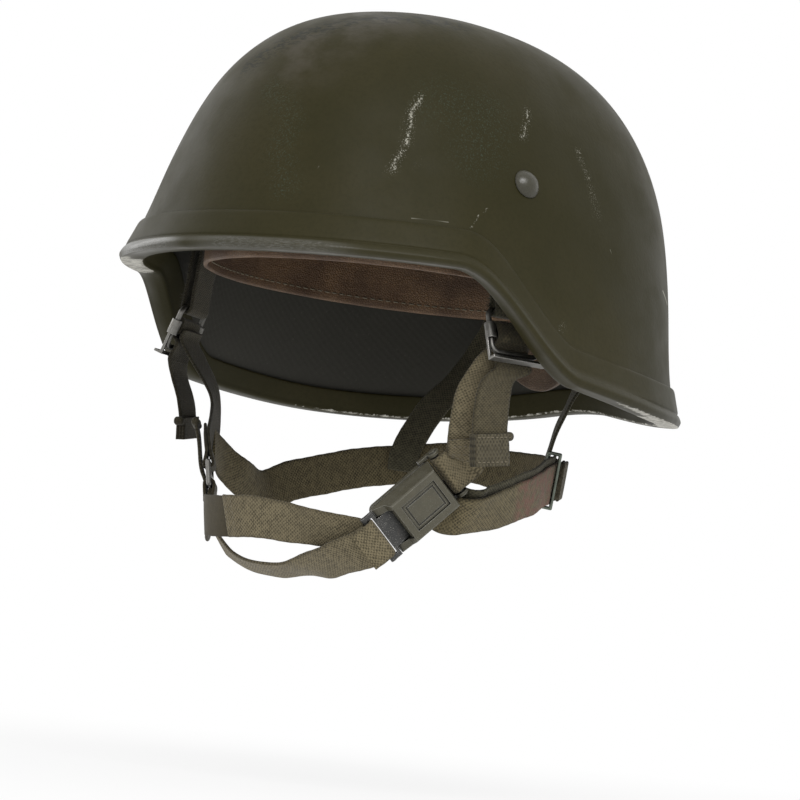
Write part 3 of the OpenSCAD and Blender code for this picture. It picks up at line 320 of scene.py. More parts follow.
# %% Webbing
def webbing_cloth(name, light, dark, across=0.0009, along=0.0008, relief=0.0002, tinted_stretch=None):
    """Plain weave: thread pitch across and along in metres; light and dark are its two colours."""
    made, tree, shader, place = finish(name, Roughness=0.88, Sheen_Weight=0.12, Sheen_Roughness=0.5,
                                       Specular_IOR_Level=0.25)
    where = place.outputs["Object"]
    ways = node(tree, "ShaderNodeSeparateXYZ", {"Vector": place.outputs["UV"]})
    wobble = times(minus(noise(where, 500, 2), 0.5), 0.0005)
    u = plus(ways.outputs[0], wobble)
    v = plus(ways.outputs[1], wobble)
    chequer = times(calc("SINE", times(u, np.pi / across)), calc("SINE", times(v, np.pi / along)))
    raised = plus(times(chequer, 0.5), 0.5)
    ribs = calc("ABSOLUTE", calc("SINE", times(v, np.pi / (1.25 * along))))
    fuzz = noise(where, 2600, 3, 0.7)
    uneven = ramp(noise(stretched(where, (420, 420, 420)), 1.0, 3, 0.7), 0.3, 0.7, -0.2, 0.2)
    weave = plus(plus(times(raised, 0.72), times(ribs, 0.22)), uneven)
    tone = mixed(ramp(weave, 0.1, 0.8), dark, light)
    tone = mixed(ramp(fuzz, 0.45, 0.75, 0, 0.5), tone, shaded(light, 1.35))
    faded = noise(stretched(where, (70, 70, 70)), 1.0, 4)
    tone = mixed(ramp(faded, 0.4, 0.75, 0, 0.5), tone, shaded(light, 0.62))
    soiled = ramp(calc("ABSOLUTE", ways.outputs[0]), 0.0078, 0.0096, 0, 0.45)
    tone = mixed(soiled, tone, shaded(dark, 0.5))
    if tinted_stretch:
        start, stop, colour = tinted_stretch
        zone = times(ramp(ways.outputs[1], start, start + 0.006), ramp(ways.outputs[1], stop, stop - 0.005))
        patchy = times(zone, ramp(noise(where, 260, 5, 0.7), 0.38, 0.62))
        tone = mixed(times(patchy, 0.75), tone, colour)
    feed(shader, Base_Color=tone)
    height = plus(weave, times(fuzz, 0.5))
    bumps(shader, height, relief)
    return made


khaki = webbing_cloth("khaki webbing", (0.190, 0.158, 0.094), (0.049, 0.041, 0.023))
# the tail's first stretch, over its wrap, is darker
tail_web = webbing_cloth("tail webbing", (0.092, 0.077, 0.043), (0.030, 0.025, 0.014),
                         tinted_stretch=(-0.02, 0.030, (0.035, 0.031, 0.019)))
ribbed = webbing_cloth("coarse ribbed webbing", (0.105, 0.09, 0.056), (0.028, 0.024, 0.014), along=0.0014,
                       relief=0.0003)
# painted shade: the same webbing made darker for the straps on the far side, which lie in shade
painted_shade_web = webbing_cloth("webbing darkened as painted shade", (0.060, 0.052, 0.031), (0.020, 0.017, 0.010))
green_web = webbing_cloth("greener webbing", (0.085, 0.077, 0.047), (0.024, 0.022, 0.013))
nape_web = webbing_cloth("faded nape webbing", (0.165, 0.136, 0.073), (0.040, 0.033, 0.018),
                         tinted_stretch=(0.045, 0.094, (0.17, 0.075, 0.055)))
print("webbing materials:", sum("webbing" in made.name for made in bpy.data.materials))


# %% [markdown]
# The hardware is steel under worn enamel. On real buckles the coat goes first on the ridges. The
# Bevel node gives a normal as if edges were rounded, and where it leans away from the true normal
# there is an edge: that difference is the wear mask.

# %% Steel and enamel
def metal(name, colour, bare, rough, bright=0.9, radius=0.0005, rust=0.3, metallic=1.0, speckle=0.0):
    """Worn metal: colour on the faces, bare steel on edges, some rust brown, dust specks, and painted shade darkening
    its hollows and gaps.
    """
    made, tree, shader, place = finish(name, Metallic=metallic)
    where = place.outputs["Object"]
    edges, rounded = worn_edges(tree, radius)
    edges = times(edges, ramp(noise(where, 420, 4), 0.3, 0.6, 0.3, bright))
    tone = mixed(noise(where, 180, 5, 0.65), shaded(colour, 0.7), shaded(colour, 1.25))
    tone = mixed(ramp(noise(where, 330, 5, 0.7), 0.55, 0.72, 0, rust), tone, (0.10, 0.055, 0.03))
    tone = mixed(edges, tone, bare)
    # painted shade: the occlusion node darkens hollows and gaps, such as the gap round the button
    corners = node(tree, "ShaderNodeAmbientOcclusion", {"Distance": 0.003}, samples=6).outputs["AO"]
    tone = mixed(ramp(corners, 0.42, 0.9, 0.95, 0.0), tone, (0.006, 0.006, 0.004))
    if speckle:
        specks = ramp(noise(where, 2200, 2, 0.8), 0.62, 0.70, 0, speckle)
        tone = mixed(specks, tone, (0.5, 0.48, 0.43))
    feed(shader, Base_Color=tone)
    spread = ramp(noise(where, 260, 4), 0.3, 0.7, rough - 0.08, rough + 0.12)
    feed(shader, Roughness=minus(spread, times(edges, 0.12)))
    relief = bumps(shader, noise(where, 1400, 3), 0.00006)
    tree.links.new(rounded, relief.inputs["Normal"])
    return made


wire_steel = metal("tarnished steel wire", (0.20, 0.195, 0.18), (0.52, 0.51, 0.48), 0.42, speckle=0.25)
enamel = metal("grey olive enamel", (0.074, 0.068, 0.045), (0.36, 0.35, 0.31), 0.5, bright=0.7, radius=0.0005,
               rust=0.12, metallic=0.1, speckle=0.2)
plug_steel = metal("dark grey steel", (0.050, 0.050, 0.048), (0.42, 0.41, 0.39), 0.45, bright=0.8,
                   radius=0.0004, rust=0.1, metallic=0.35, speckle=0.7)
bright_steel = metal("bright spring steel", (0.42, 0.42, 0.40), (0.6, 0.6, 0.58), 0.32, rust=0.25)
old_steel = metal("steel with green tarnish", (0.15, 0.17, 0.14), (0.40, 0.42, 0.36), 0.5, rust=0.2, speckle=0.35)
screw_paint = metal("painted screw heads", (0.034, 0.031, 0.017), (0.22, 0.215, 0.19), 0.3, bright=0.55,
                    radius=0.0007, rust=0.05, metallic=0.0)

# %% [markdown]
# Leather has a pebbled grain, a soft shine where hands and heads polished it, and dark creases.
# Voronoi cells give the pebbles.

# %% Leather, plastic and rubber
def leather_hide(name, light, dark, rough=0.5):
    """Grained hide: pebbles from cells, creases from noise, darker where it was sweated on."""
    made, tree, shader, place = finish(name, Coat_Weight=0.08, Coat_Roughness=0.4)
    where = place.outputs["Object"]
    cells = node(tree, "ShaderNodeTexVoronoi", {"Vector": where, "Scale": 900.0}, feature="DISTANCE_TO_EDGE")
    pebble = ramp(cells.outputs["Distance"], 0.0, 0.25)
    patch = noise(where, 38, 5, 0.6)
    tone = mixed(ramp(patch, 0.3, 0.7), dark, light)
    tone = mixed(times(minus(1.0, pebble), 0.5), tone, shaded(dark, 0.5))
    feed(shader, Base_Color=tone)
    feed(shader, Roughness=ramp(patch, 0.3, 0.8, rough + 0.12, rough - 0.1))
    crease = noise(stretched(where, (60, 60, 500)), 1.0, 4)
    bumps(shader, plus(pebble, times(crease, 1.5)), 0.00015)
    return made


brown_leather = leather_hide("brown sweatband leather", (0.20, 0.115, 0.055), (0.085, 0.045, 0.022))
pad_leather = leather_hide("soft pad leather", (0.15, 0.095, 0.055), (0.07, 0.042, 0.024), 0.6)


def plain(name, rough, dark, light, lumps, fine, depth):
    """Even stuff whose colour wanders from dark to light; lumps and fine are scale and detail of noise."""
    made, tree, shader, place = finish(name, Roughness=rough)
    where = place.outputs["Object"]
    feed(shader, Base_Color=mixed(noise(where, *lumps), dark, light))
    bumps(shader, noise(where, *fine), depth)
    return made


band_plastic = plain("moulded dark green plastic", 0.55, (0.016, 0.018, 0.013), (0.032, 0.034, 0.026),
                     (90, 4), (1600, 2), 0.00005)
black_rubber = plain("washer rubber", 0.8, (0.012, 0.012, 0.012), (0.03, 0.03, 0.028), (300, 4), (1800, 3), 0.00006)
thread = plain("sewing thread", 0.8, (0.10, 0.085, 0.055), (0.22, 0.19, 0.13), (3500, 2), (3500, 2), 0.0001)
print("materials so far:", len(bpy.data.materials))

# %% [markdown]
# Every new surface is a grid of points worked out with numpy: rows along one direction, columns
# along the other. One function turns such a grid into a mesh with a map in metres. Grids can be
# closed round, closed end to end, or closed with a point at each end.

# %% Grid to mesh
def unit(v):
    """Each vector divided by its length."""
    return v / np.maximum(np.linalg.norm(v, axis=-1, keepdims=True), 1e-12)


def turns(count):
    """Turns round a full circle in radians, evenly spaced, without the last one."""
    return np.linspace(0, 2 * np.pi, count, endpoint=False)


def run_of(line, closed=False):
    """Length so far at each place of a line; a closed line comes back to its first place."""
    if closed:
        line = np.r_[line, line[:1]]
    return np.r_[0, np.cumsum(np.linalg.norm(np.diff(line, axis=0), axis=1))]


def flat_map(across, along):
    """Map of a grid in millimetres: every corner's place across and along."""
    return np.stack(np.meshgrid(across, along), -1)


def solid(name, points, faces, quads, material, body, flat=None):
    """Closed mesh from points in millimetres, turned so that its quads face outward.

    flat holds the map coordinates of the faces' corners; body is what the piece rides on.
    """
    a, b, c, d = (points[quads[:, k]] for k in range(4))
    volume = (np.cross(b - a, c - a) * a).sum() + (np.cross(c - a, d - a) * a).sum()
    mesh = bpy.data.meshes.new(name)
    mesh.from_pydata((points / 1000).tolist(), [], faces)
    if flat is not None:
        layer = mesh.uv_layers.new(name="map")
        layer.data.foreach_set("uv", (flat / 1000).astype(np.float32).ravel())
    if volume < 0:
        mesh.flip_normals()
    mesh.polygons.foreach_set("use_smooth", np.ones(len(mesh.polygons), bool))
    mesh.materials.append(material)
    mesh.validate()
    mesh.update()
    made = bpy.data.objects.new(name.replace(" ", "_"), mesh)
    bpy.context.collection.objects.link(made)
    if body:
        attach(made, body)
    return made


def surface(name, grid, material, body, round_columns=True, loop_rows=False, tips=False, map_mm=None):
    """Mesh from points grid[row, column] in millimetres.

    Neighbours are joined into quads; tips adds the mean point of the first and last row as a cap.
    map_mm holds the two map coordinates of each corner; it has one column (row) more where closed.
    """
    rows, columns = grid.shape[:2]
    index = np.arange(rows * columns).reshape(rows, columns)
    if round_columns:
        index = np.c_[index, index[:, :1]]
    if loop_rows:
        index = np.r_[index, index[:1]]
    corners = [(slice(None, -1), slice(None, -1)), (slice(None, -1), slice(1, None)),
               (slice(1, None), slice(1, None)), (slice(1, None), slice(None, -1))]
    quads = np.stack([index[c] for c in corners], -1).reshape(-1, 4)
    faces = quads.tolist()
    points = grid.reshape(-1, 3)
    if map_mm is None:
        map_mm = flat_map(np.arange(index.shape[1]), np.arange(index.shape[0])) * 1.0
    flat = np.stack([map_mm[c] for c in corners], -2).reshape(-1, 2)
    for row, turn in ((0, 1), (-1, -1)) if tips else ():
        ring, edge = index[row][::turn], map_mm[row][::turn]
        tip = np.full(len(ring) - 1, len(points))
        points = np.r_[points, grid[row].mean(0)[None]]
        faces += np.stack([ring[1:], ring[:-1], tip], -1).tolist()
        centre = np.broadcast_to(edge.mean(0), edge[1:].shape)
        flat = np.r_[flat, np.stack([edge[1:], edge[:-1], centre], 1).reshape(-1, 2)]
    return solid(name, points, faces, quads, material, body, flat)


def paint_zones(piece, values):
    """Stores four numbers at each point as the colour attribute wear."""
    layer = piece.data.color_attributes.new("wear", "FLOAT_COLOR", "POINT")
    layer.data.foreach_set("color", np.asarray(values, np.float32).ravel())


def stands_for(piece, slot, *nodes):
    """The piece is shown in place of these CAD nodes, which are hidden; slot is not used."""
    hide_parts(*nodes)
    return piece


# %% [markdown]
# The shell is one formula. Seen in plan it is an oval, and each vertical cut is a superellipse
# whose roundness blends from front to side to rear. Near the edge it flares by a decaying
# exponential, and the edge itself drops at the temples on a smooth S-curve.

# %% Shell formula
half_width, front_reach, rear_reach, crown, wall = 116.0, 122.0, 136.0, 178.0, 8.5
brow_z, low_z, nape_rise = 56.0, 7.5, 12.5
temple_from, temple_to, ear_to, fast_share = 57.0, 86.0, 118.0, 0.78
trim_high, trim_thick, lip_high, trim_under, trim_inside, clear = 15.0, 1.5, 3.0, 2.5, 8.5, 0.3


def smooth(t):
    """Zero to one with level ends: three t squared less two t cubed."""
    t = np.clip(t, 0, 1)
    return t * t * (3 - 2 * t)


def round_blend(turn, front, side, rear):
    """Front, side and rear values weighted by squared cosines and sines of the turn."""
    ahead, behind = np.maximum(np.cos(turn), 0), np.maximum(-np.cos(turn), 0)
    return ahead ** 2 * front + np.sin(turn) ** 2 * side + behind ** 2 * rear


def edge_height(turn):
    """Height of the lower edge at a turn from the front: level, then two S-curves, then the nape."""
    angle = np.degrees(turn) % 360
    angle = np.where(angle > 180, 360 - angle, angle)
    fall = fast_share * smooth((angle - temple_from) / (temple_to - temple_from)) \
        + (1 - fast_share) * smooth((angle - temple_from) / (ear_to - temple_from))
    past = np.maximum(angle - ear_to, 0) / (180 - ear_to)
    rear = low_z + nape_rise * (past ** 2 - np.maximum(past - 0.85, 0) ** 2 / 0.15)
    return np.where(angle <= ear_to, brow_z - (brow_z - low_z) * fall, rear)


def shell_point(turn, z, inset=0.0):
    """Point of the shell: plan oval times the superellipse of its height, plus the edge flare."""
    high = np.clip(np.maximum(z, 0) / (crown - inset), 0, 1)
    rho = np.maximum(1 - high ** round_blend(turn, 2.9, 1.55, 4.4), 0) ** (1 / round_blend(turn, 2.8, 3.05, 2.4))
    out = round_blend(turn, 9.5, 8.0, 6.8) * np.exp(-np.maximum(z - edge_height(turn), 0) / 18)
    reach = np.where(np.cos(turn) > 0, front_reach, rear_reach) - inset
    return np.stack([np.sin(turn) * ((half_width - inset) * rho + out), -np.cos(turn) * (reach * rho + out), z], -1)


# %% [markdown]
# The shell mesh runs from the inner crown down to the edge and up the outside, so one closed skin
# has both faces. Moulded laminate is never perfect, so very low waves are added; they bend the
# reflections the way a real press moulding does.

# %% Shell mesh
columns, half_rows = 320, 92
turn = turns(columns)
climb = np.sin(np.linspace(0, 1, half_rows) * np.pi / 2 * 0.992)
edge = edge_height(turn)
outer_z = edge + (crown - edge) * climb[:, None]
inner_z = edge + (crown - wall - edge) * climb[:, None]
outer = shell_point(turn + 0 * outer_z, outer_z)
inner = shell_point(turn + 0 * inner_z, inner_z, wall)
x, y, z = (outer[..., k] for k in range(3))
waves = 0.16 * np.sin(x / 19 + 1.3) * np.sin(y / 23) + 0.1 * np.sin(z / 9 + x / 31)
outer = outer + unit(outer - np.array([0, 0, 40.0])) * (waves * smooth((climb[:, None] - 0.15) / 0.3))[..., None]
rows = np.concatenate([inner[::-1], outer])
climbed = np.concatenate([-climb[::-1] * 180, climb * 180])
around = np.linspace(0, 760, columns + 1)
shell = surface("painted shell", rows, paint, "helmet", tips=True, map_mm=flat_map(around, climbed))
shell.data.materials.append(inner_skin)
inside = np.zeros(len(shell.data.polygons), np.int32)
inside[:(half_rows - 1) * columns] = 1
inside[(2 * half_rows - 1) * columns:2 * half_rows * columns] = 1
shell.data.polygons.foreach_set("material_index", inside)
stands_for(shell, "shell_paint", "shell")
print("shell points:", len(shell.data.vertices))


# %% [markdown]
# Wear is painted as zones: for each mark, the distance from every point of the shell to a short
# line, turned into a soft weight. The material breaks the zones into flecks and strokes.

# %% Wear zones on the shell
def near(points, line, width):
    """Weight one on the broken line through the given places, fading to zero at the width."""
    line = np.array(line, float)
    best = np.full(points.shape[:-1], 1e9)
    for a, b in zip(line[:-1], line[1:]):
        d = b - a
        share = np.clip(((points - a) @ d) / (d @ d), 0, 1)
        best = np.minimum(best, np.linalg.norm(points - a - share[..., None] * d, axis=-1))
    return smooth(1 - best / width)


spots = np.concatenate([rows.reshape(-1, 3), rows[0].mean(0)[None], rows[-1].mean(0)[None]])
chips = np.maximum.reduce([
    1.15 * near(spots, [(66.9, -66.8, 128.8), (67.6, -72.6, 120.5), (69.6, -75.5, 112.9), (71.2, -78.1, 105.2),
                        (71.3, -81.5, 98.8), (71.1, -84.7, 93.0)], 3.4),
    1.1 * near(spots, [(83.1, -16.7, 131.6), (85.8, -19.2, 125.8), (88.9, -24.5, 117.6)], 3.0),
    0.95 * near(spots, [(90.6, 11.2, 117.9), (93.0, 12.6, 112.1), (95.1, 14.1, 106.5)], 2.6),
    0.62 * near(spots, [(96.5, 14.8, 102.0), (99.5, 16.5, 90.0)], 4.0),
    0.62 * near(spots, [(73.0, -52.0, 118.0), (72.0, -66.0, 108.0), (75.0, -74.0, 95.0)], 4.5),
    0.8 * near(spots, [(114.8, -17.2, 34.6), (114.0, -15.0, 36.0)], 2.5)])
scuffs = near(spots, [(-12.9, -93.6, 140.8), (-3.2, -86, 151.3), (12.7, -72.2, 161.6), (30.8, -50.9, 168.2),
                      (45, -28, 170)], 13)
rough_skin = np.maximum(
    near(spots, [(73.6, -58.7, 126.0), (81.6, -40, 125), (88, -50, 108)], 24),
    near(spots, [(13.3, -102.2, 126.9), (27.9, -105.1, 112.5), (28.6, -110.1, 98.5), (36.6, -112.3, 82.7)], 12))
# rubbed patches on the crown; along the top outline the same zone is also lightened as a painted sheen
rubbed_and_sheen = np.maximum(
    near(spots, [(14.6, -90.7, 144.3), (19.2, -78.6, 155.5), (25.0, -60.7, 165.7), (29.5, -46.7, 170.1)], 34),
    0.5 * near(spots, [(-60, -60, 140), (0, 0, crown), (40, 60, 150)], 45))
paint_zones(shell, np.stack([np.clip(chips, 0, 1), scuffs, rough_skin, rubbed_and_sheen], -1))
print("points with chips:", int((chips > 0.3).sum()))

# %% [markdown]
# The edge trim is a rubber channel with a raised band, a groove and a rounded lip. Its section is a
# short list of points, rounded by cutting corners twice, and carried round the dropping edge. On
# the steep temples the heights are stretched, so the band keeps its real width there, and the band
# sinks almost flush into the shell, as it does on the real one.

# %% Edge trim
def rounded_loop(section, rounds=2, cut=0.22):
    """Corner cutting: each side of the closed outline keeps two points, a share in from its ends."""
    for _ in range(rounds):
        after = np.roll(section, -1, 0)
        section = np.stack([(1 - cut) * section + cut * after, cut * section + (1 - cut) * after], 1).reshape(-1, 2)
    return section


leg, face, skin = -wall - clear - trim_thick, -wall - clear, clear + trim_thick
section = rounded_loop(np.array([
    (clear, trim_high), (clear + 0.9, trim_high), (skin, trim_high - 1.4), (skin, lip_high + 1.4),
    (skin - 0.8, lip_high + 0.5), (skin, lip_high - 0.4), (skin + 0.2, 0.6), (skin - 0.8, -trim_under + 0.5),
    (clear, -trim_under), (face, -trim_under), (leg, -0.8), (leg, trim_inside / 2), (leg, trim_inside),
    (face, trim_inside), (face, trim_inside / 2), (face, -clear), (clear, -clear), (clear, trim_high / 4),
    (clear, trim_high / 2), (clear, trim_high * 0.75)]))
trim_columns = 540
turn = turns(trim_columns)
edge = edge_height(turn)
track = shell_point(turn, edge)
step = np.linalg.norm(np.roll(track, -1, 0) - np.roll(track, 1, 0), axis=1)
slope = (np.roll(edge, 1) - np.roll(edge, -1)) / step
stretch = np.sqrt(1 + slope ** 2)
reach = np.where(np.cos(turn) > 0, front_reach, rear_reach)
outward = unit(np.stack([np.sin(turn) / half_width, -np.cos(turn) / reach, 0 * turn], -1))
above = section[:, None, 1] * np.where(section[:, None, 1] < 0, 1, stretch[None])
level = edge + above
trim_grid = shell_point(turn + 0 * level, np.maximum(level, edge))
trim_grid[..., 2] = level
flush = smooth((np.degrees(turn) - 58) / 16) * smooth((112 - np.degrees(turn)) / 16)
flush = np.maximum(flush, flush[::-1])
sunk = -1.15 * flush[None] * (smooth((section[:, 1:] - 3.2) / 1.5) * (section[:, :1] > clear + 0.2))
trim_grid = trim_grid + outward * (section[:, None, :1] + sunk[..., None])
run = run_of(track, closed=True)
climbed = run_of(section, closed=True)
trim = surface("edge trim", trim_grid, edge_paint, "helmet", loop_rows=True, map_mm=flat_map(run, climbed))
stands_for(trim, "trim_paint", "rim_trim")
print("trim length in millimetres:", round(run[-1]))

# %% [markdown]
# The edge is where a helmet is set down and knocked. Wear on it is a product of two weights: one for
# the place on the section (outer corner, inner corner, underside, lip) and one for the turn round the
# head, since front, temples and rear aren't worn alike. The lip's outer corner also gets a painted
# highlight, strongest at the brow.

# %% Wear on the trim
angle = np.degrees(turn) % 360
outer_corner = np.exp(-(((section[:, 0] + 1.2) / 2.6) ** 2 + ((section[:, 1] + 2.6) / 1.3) ** 2))
inner_corner = np.exp(-(((section[:, 0] + 9.6) / 1.3) ** 2 + ((section[:, 1] + 1.9) / 1.2) ** 2))
flat_under = smooth((-1.6 - section[:, 1]) / 0.8)


def stretch_of(low, high, soft):
    """Weight one between two turns in degrees, with soft ends."""
    return smooth((angle - low) / soft + 0.5) * smooth((high - angle) / soft + 0.5)


edge_wear = 0.24 + 0.66 * stretch_of(98, 146, 18) + 0.22 * stretch_of(210, 262, 12) \
    + 0.55 * stretch_of(303, 330, 8)
flat_wear = 0.82 * stretch_of(303, 327, 8) + 0.74 * stretch_of(110, 138, 9) + 0.12
lip = smooth((lip_high + 0.6 - section[:, 1]) / 2) * smooth((section[:, 0] - 0.3) / 0.6)
scraped = 0.25 + 0.75 * np.maximum(stretch_of(4, 34, 12), stretch_of(330, 356, 8))
bare = np.maximum.reduce([
    outer_corner[:, None] * edge_wear[None],
    inner_corner[:, None] * (0.22 + 0.4 * stretch_of(100, 250, 20))[None],
    flat_under[:, None] * flat_wear[None],
    lip[:, None] * (0.42 * stretch_of(308, 330, 8) + 0.38 * stretch_of(122, 138, 8))[None]])
# painted highlight: a light grey along the lip's outer corner, strongest at the brow, stands in for its shine
brow_highlight_share = np.maximum(stretch_of(0, 66, 16), stretch_of(300, 362, 16))
painted_lip_highlight = 0.85 * outer_corner[:, None] ** 1.5 * (0.35 + 0.65 * brow_highlight_share)[None]
paint_zones(trim, np.stack([0 * bare, lip[:, None] * scraped[None], bare, painted_lip_highlight], -1).reshape(-1, 4))
print("trim points worn bare:", int((bare > 0.5).sum()), "of", bare.size)

# %% [markdown]
# Webbing is a flat strip. Its middle line is a Catmull-Rom curve through a few places, and a second
# curve says which way its face looks. At each step a rounded strip section is set square to the line.
# A little cockling of the edges keeps it from looking like sheet metal.

# %% Strips of webbing
def spline(points, steps):
    """Catmull-Rom: between b and c, 0.5 (2b + (c-a)t + (2a-5b+4c-d)t2 + (3b-a-3c+d)t3)."""
    p = np.array(points, float)
    ends = np.concatenate([p[:1], p, p[-1:]])
    a, b, c, d = (ends[k:k + len(p) - 1, None] for k in range(4))
    t = (np.arange(steps) / steps)[None, :, None]
    inside = 0.5 * (2 * b + (c - a) * t + (2 * a - 5 * b + 4 * c - d) * t ** 2 + (3 * b - a - 3 * c + d) * t ** 3)
    return np.concatenate([inside.reshape(-1, 3), p[-1:]])


def strip_section(wide, thick, plies=1, columns=13):
    """Closed outline of a strip: across and up, with a round bead per ply on each side."""
    r = thick / plies / 2
    half = wide / 2 - r
    top = np.linspace(-half, half, columns)[:-1]
    bead = np.linspace(np.pi / 2, -np.pi / 2, 5)[:-1]
    side_across = np.concatenate([half + r * np.cos(bead) for _ in range(plies)])
    side_up = np.concatenate([thick - r * (2 * k + 1) + r * np.sin(bead) for k in range(plies)])
    across = np.concatenate([top, side_across, -top, -side_across])
    up = np.concatenate([thick + 0.07 * (1 - (top / half) ** 2), side_up, 0 * top, thick - side_up])
    return across, up


web_w, web_t = 19.0, 1.4
Laid = namedtuple("Laid", "piece line side face run")  # a strap, its middle line, two ways and length so far


def strap(name, stand_in, path, faces, body, material, wide=web_w, thick=web_t, steps=14, base=0.0,
          cockle=0.16, plies=1, seed=0, widths=None, keep=slice(None)):
    """Webbing on a curve: place = line + side x across + face x (base + up), capped at both ends.

    stand_in is the CAD node that it is shown in place of. widths gives the direction across the strap
    at each place, so that it can shift sideways; keep picks some of its rows, for a strap in two pieces.
    """
    line, out = spline(path, steps), spline(faces, steps)
    along = unit(np.gradient(line, axis=0))
    side = unit(np.cross(along, out))
    if widths is not None:
        given = unit(spline(widths, steps))
        side = given * np.sign((given * side).sum(-1, keepdims=True))
    face = unit(np.cross(side, along))
    run = run_of(line)
    across, up = strip_section(wide, thick, plies)
    lean = across / (wide / 2)
    wobble = 1 + 0.008 * np.sin(run / 2.3 + seed) + 0.006 * np.sin(run / 0.9 + 2 * seed)
    wave = cockle * np.sin(run / 3.7 + 1.7 * seed)[:, None] * lean ** 2 * np.sign(lean) \
        + cockle * 0.7 * np.sin(run / 6.1 + seed)[:, None] * lean ** 2
    fade = (smooth(run / 4) * smooth((run[-1] - run) / 4))[:, None]
    grid = line[:, None] + side[:, None] * (across * wobble[:, None])[..., None] \
        + face[:, None] * (base + up + wave * fade)[..., None]
    weave_map = flat_map(np.r_[across, across[:1]], run)
    made = surface(name, grid[keep], material, body, tips=True, map_mm=weave_map[keep])
    stands_for(made, "webbing", stand_in)
    return Laid(made, line, side, face, run)


def bundle(name, grids, material):
    """Many small closed tubes in one mesh on the helmet: grids[tube, row, column], ended by points."""
    count, rows, columns = grids.shape[:3]
    points = np.concatenate([grids.reshape(count, -1, 3), grids[:, :1].mean(2), grids[:, -1:].mean(2)], 1)
    index = np.arange(rows * columns).reshape(rows, columns)
    index = np.c_[index, index[:, :1]]
    quads = np.stack([index[:-1, :-1], index[:-1, 1:], index[1:, 1:], index[1:, :-1]], -1).reshape(-1, 4)
    low = np.stack([index[0, 1:], index[0, :-1], np.full(columns, rows * columns)], -1)
    high = np.stack([index[-1, :-1], index[-1, 1:], np.full(columns, rows * columns + 1)], -1)
    shift = (np.arange(count) * points.shape[1])[:, None, None]
    faces = (quads + shift).reshape(-1, 4).tolist() + (np.r_[low, high] + shift).reshape(-1, 3).tolist()
    return solid(name, points.reshape(-1, 3), faces, quads, material, "helmet")


def stitches(name, a, b, out, radius=0.3, bow=0.3):
    """Thread stitches from a to b: each rises by a parabola, bow high, and thins at both ends."""
    a, b, out = (np.asarray(v, float)[:, None] for v in (a, b, unit(np.asarray(out, float))))
    t = np.linspace(0, 1, 6)[None, :, None]
    centre = a * (1 - t) + b * t + out * (bow * 4 * t * (1 - t) - 0.12)
    side = unit(np.cross(b - a, out))
    size = radius * np.sqrt(np.maximum(1 - (2 * t - 1) ** 4, 0.06))
    turn = turns(6)[:, None]
    spokes = side[:, :, None] * np.cos(turn) + out[:, :, None] * np.sin(turn)
    grids = centre[:, :, None] + size[:, :, None] * spokes
    return bundle(name, grids, thread)


def stitch_rows(name, laid, rows, wide, up=1.45, pitch=2.4, turn=1):
    """Rows of stitches across a strap: rows are indices on its line, wide the row's width."""
    offsets = np.arange(-wide / 2, wide / 2 - pitch * 0.5, pitch)
    k = np.repeat(rows, len(offsets))
    s = np.tile(offsets, len(rows))[:, None]
    side, face = laid.side[k] * turn, laid.face[k] * turn
    a = laid.line[k] + side * s + face * up
    return stitches(name, a, a + side * pitch * 0.72, face)


def fibres(name, roots, ways, material, length, radius, seed=3):
    """Loose fibres: each leaves its root along its way and curls by a random sideways parabola."""
    rng = np.random.default_rng(seed)
    n = len(roots)
    t = np.linspace(0, 1, 5)[None, :, None]
    size = length * rng.uniform(0.3, 1.0, (n, 1, 1))
    curl = unit(rng.normal(size=(n, 3)))[:, None]
    ways = unit(ways + 0.5 * unit(rng.normal(size=(n, 3))))[:, None]
    centre = roots[:, None] + ways * size * t + curl * size * 0.55 * t ** 2
    along = unit(np.gradient(centre, axis=1))
    side = unit(np.cross(along, curl + 0.01))
    other = np.cross(along, side)
    turn = turns(4)[:, None]
    thin = radius * (1 - 0.6 * t)
    spokes = side[:, :, None] * np.cos(turn) + other[:, :, None] * np.sin(turn)
    grids = centre[:, :, None] + thin[:, :, None] * spokes
    return bundle(name, grids, material)


# %% [markdown]
# Inside hangs the suspension. A leather band on spring clips touches the head, a plastic band holds
# it off the shell, and three webbing arcs cross over the crown under a pad. Real arcs lie on top of
# each other where they cross, so each is lifted a ply higher there.

# %% Suspension
head_half, head_front, head_rear, leather, band_in, band_t = 79.0, 93.0, 101.0, 2.2, 5.6, 2.2
band_out = band_in + band_t


def oval(turn, outset, z):
    """Place on the oval round the head: (half width + outset) sin, (reach + outset) cos."""
    reach = np.where(np.cos(turn) > 0, head_front, head_rear)
    turn, z = np.broadcast_arrays(turn, z)
    return np.stack([np.sin(turn) * (head_half + outset), -np.cos(turn) * (reach + outset), z * 1.0], -1)


def oval_out(turn):
    """Outward direction of that oval."""
    reach = np.where(np.cos(turn) > 0, head_front, head_rear)
    return unit(np.stack([np.sin(turn) / head_half, -np.cos(turn) / reach, 0 * turn], -1))


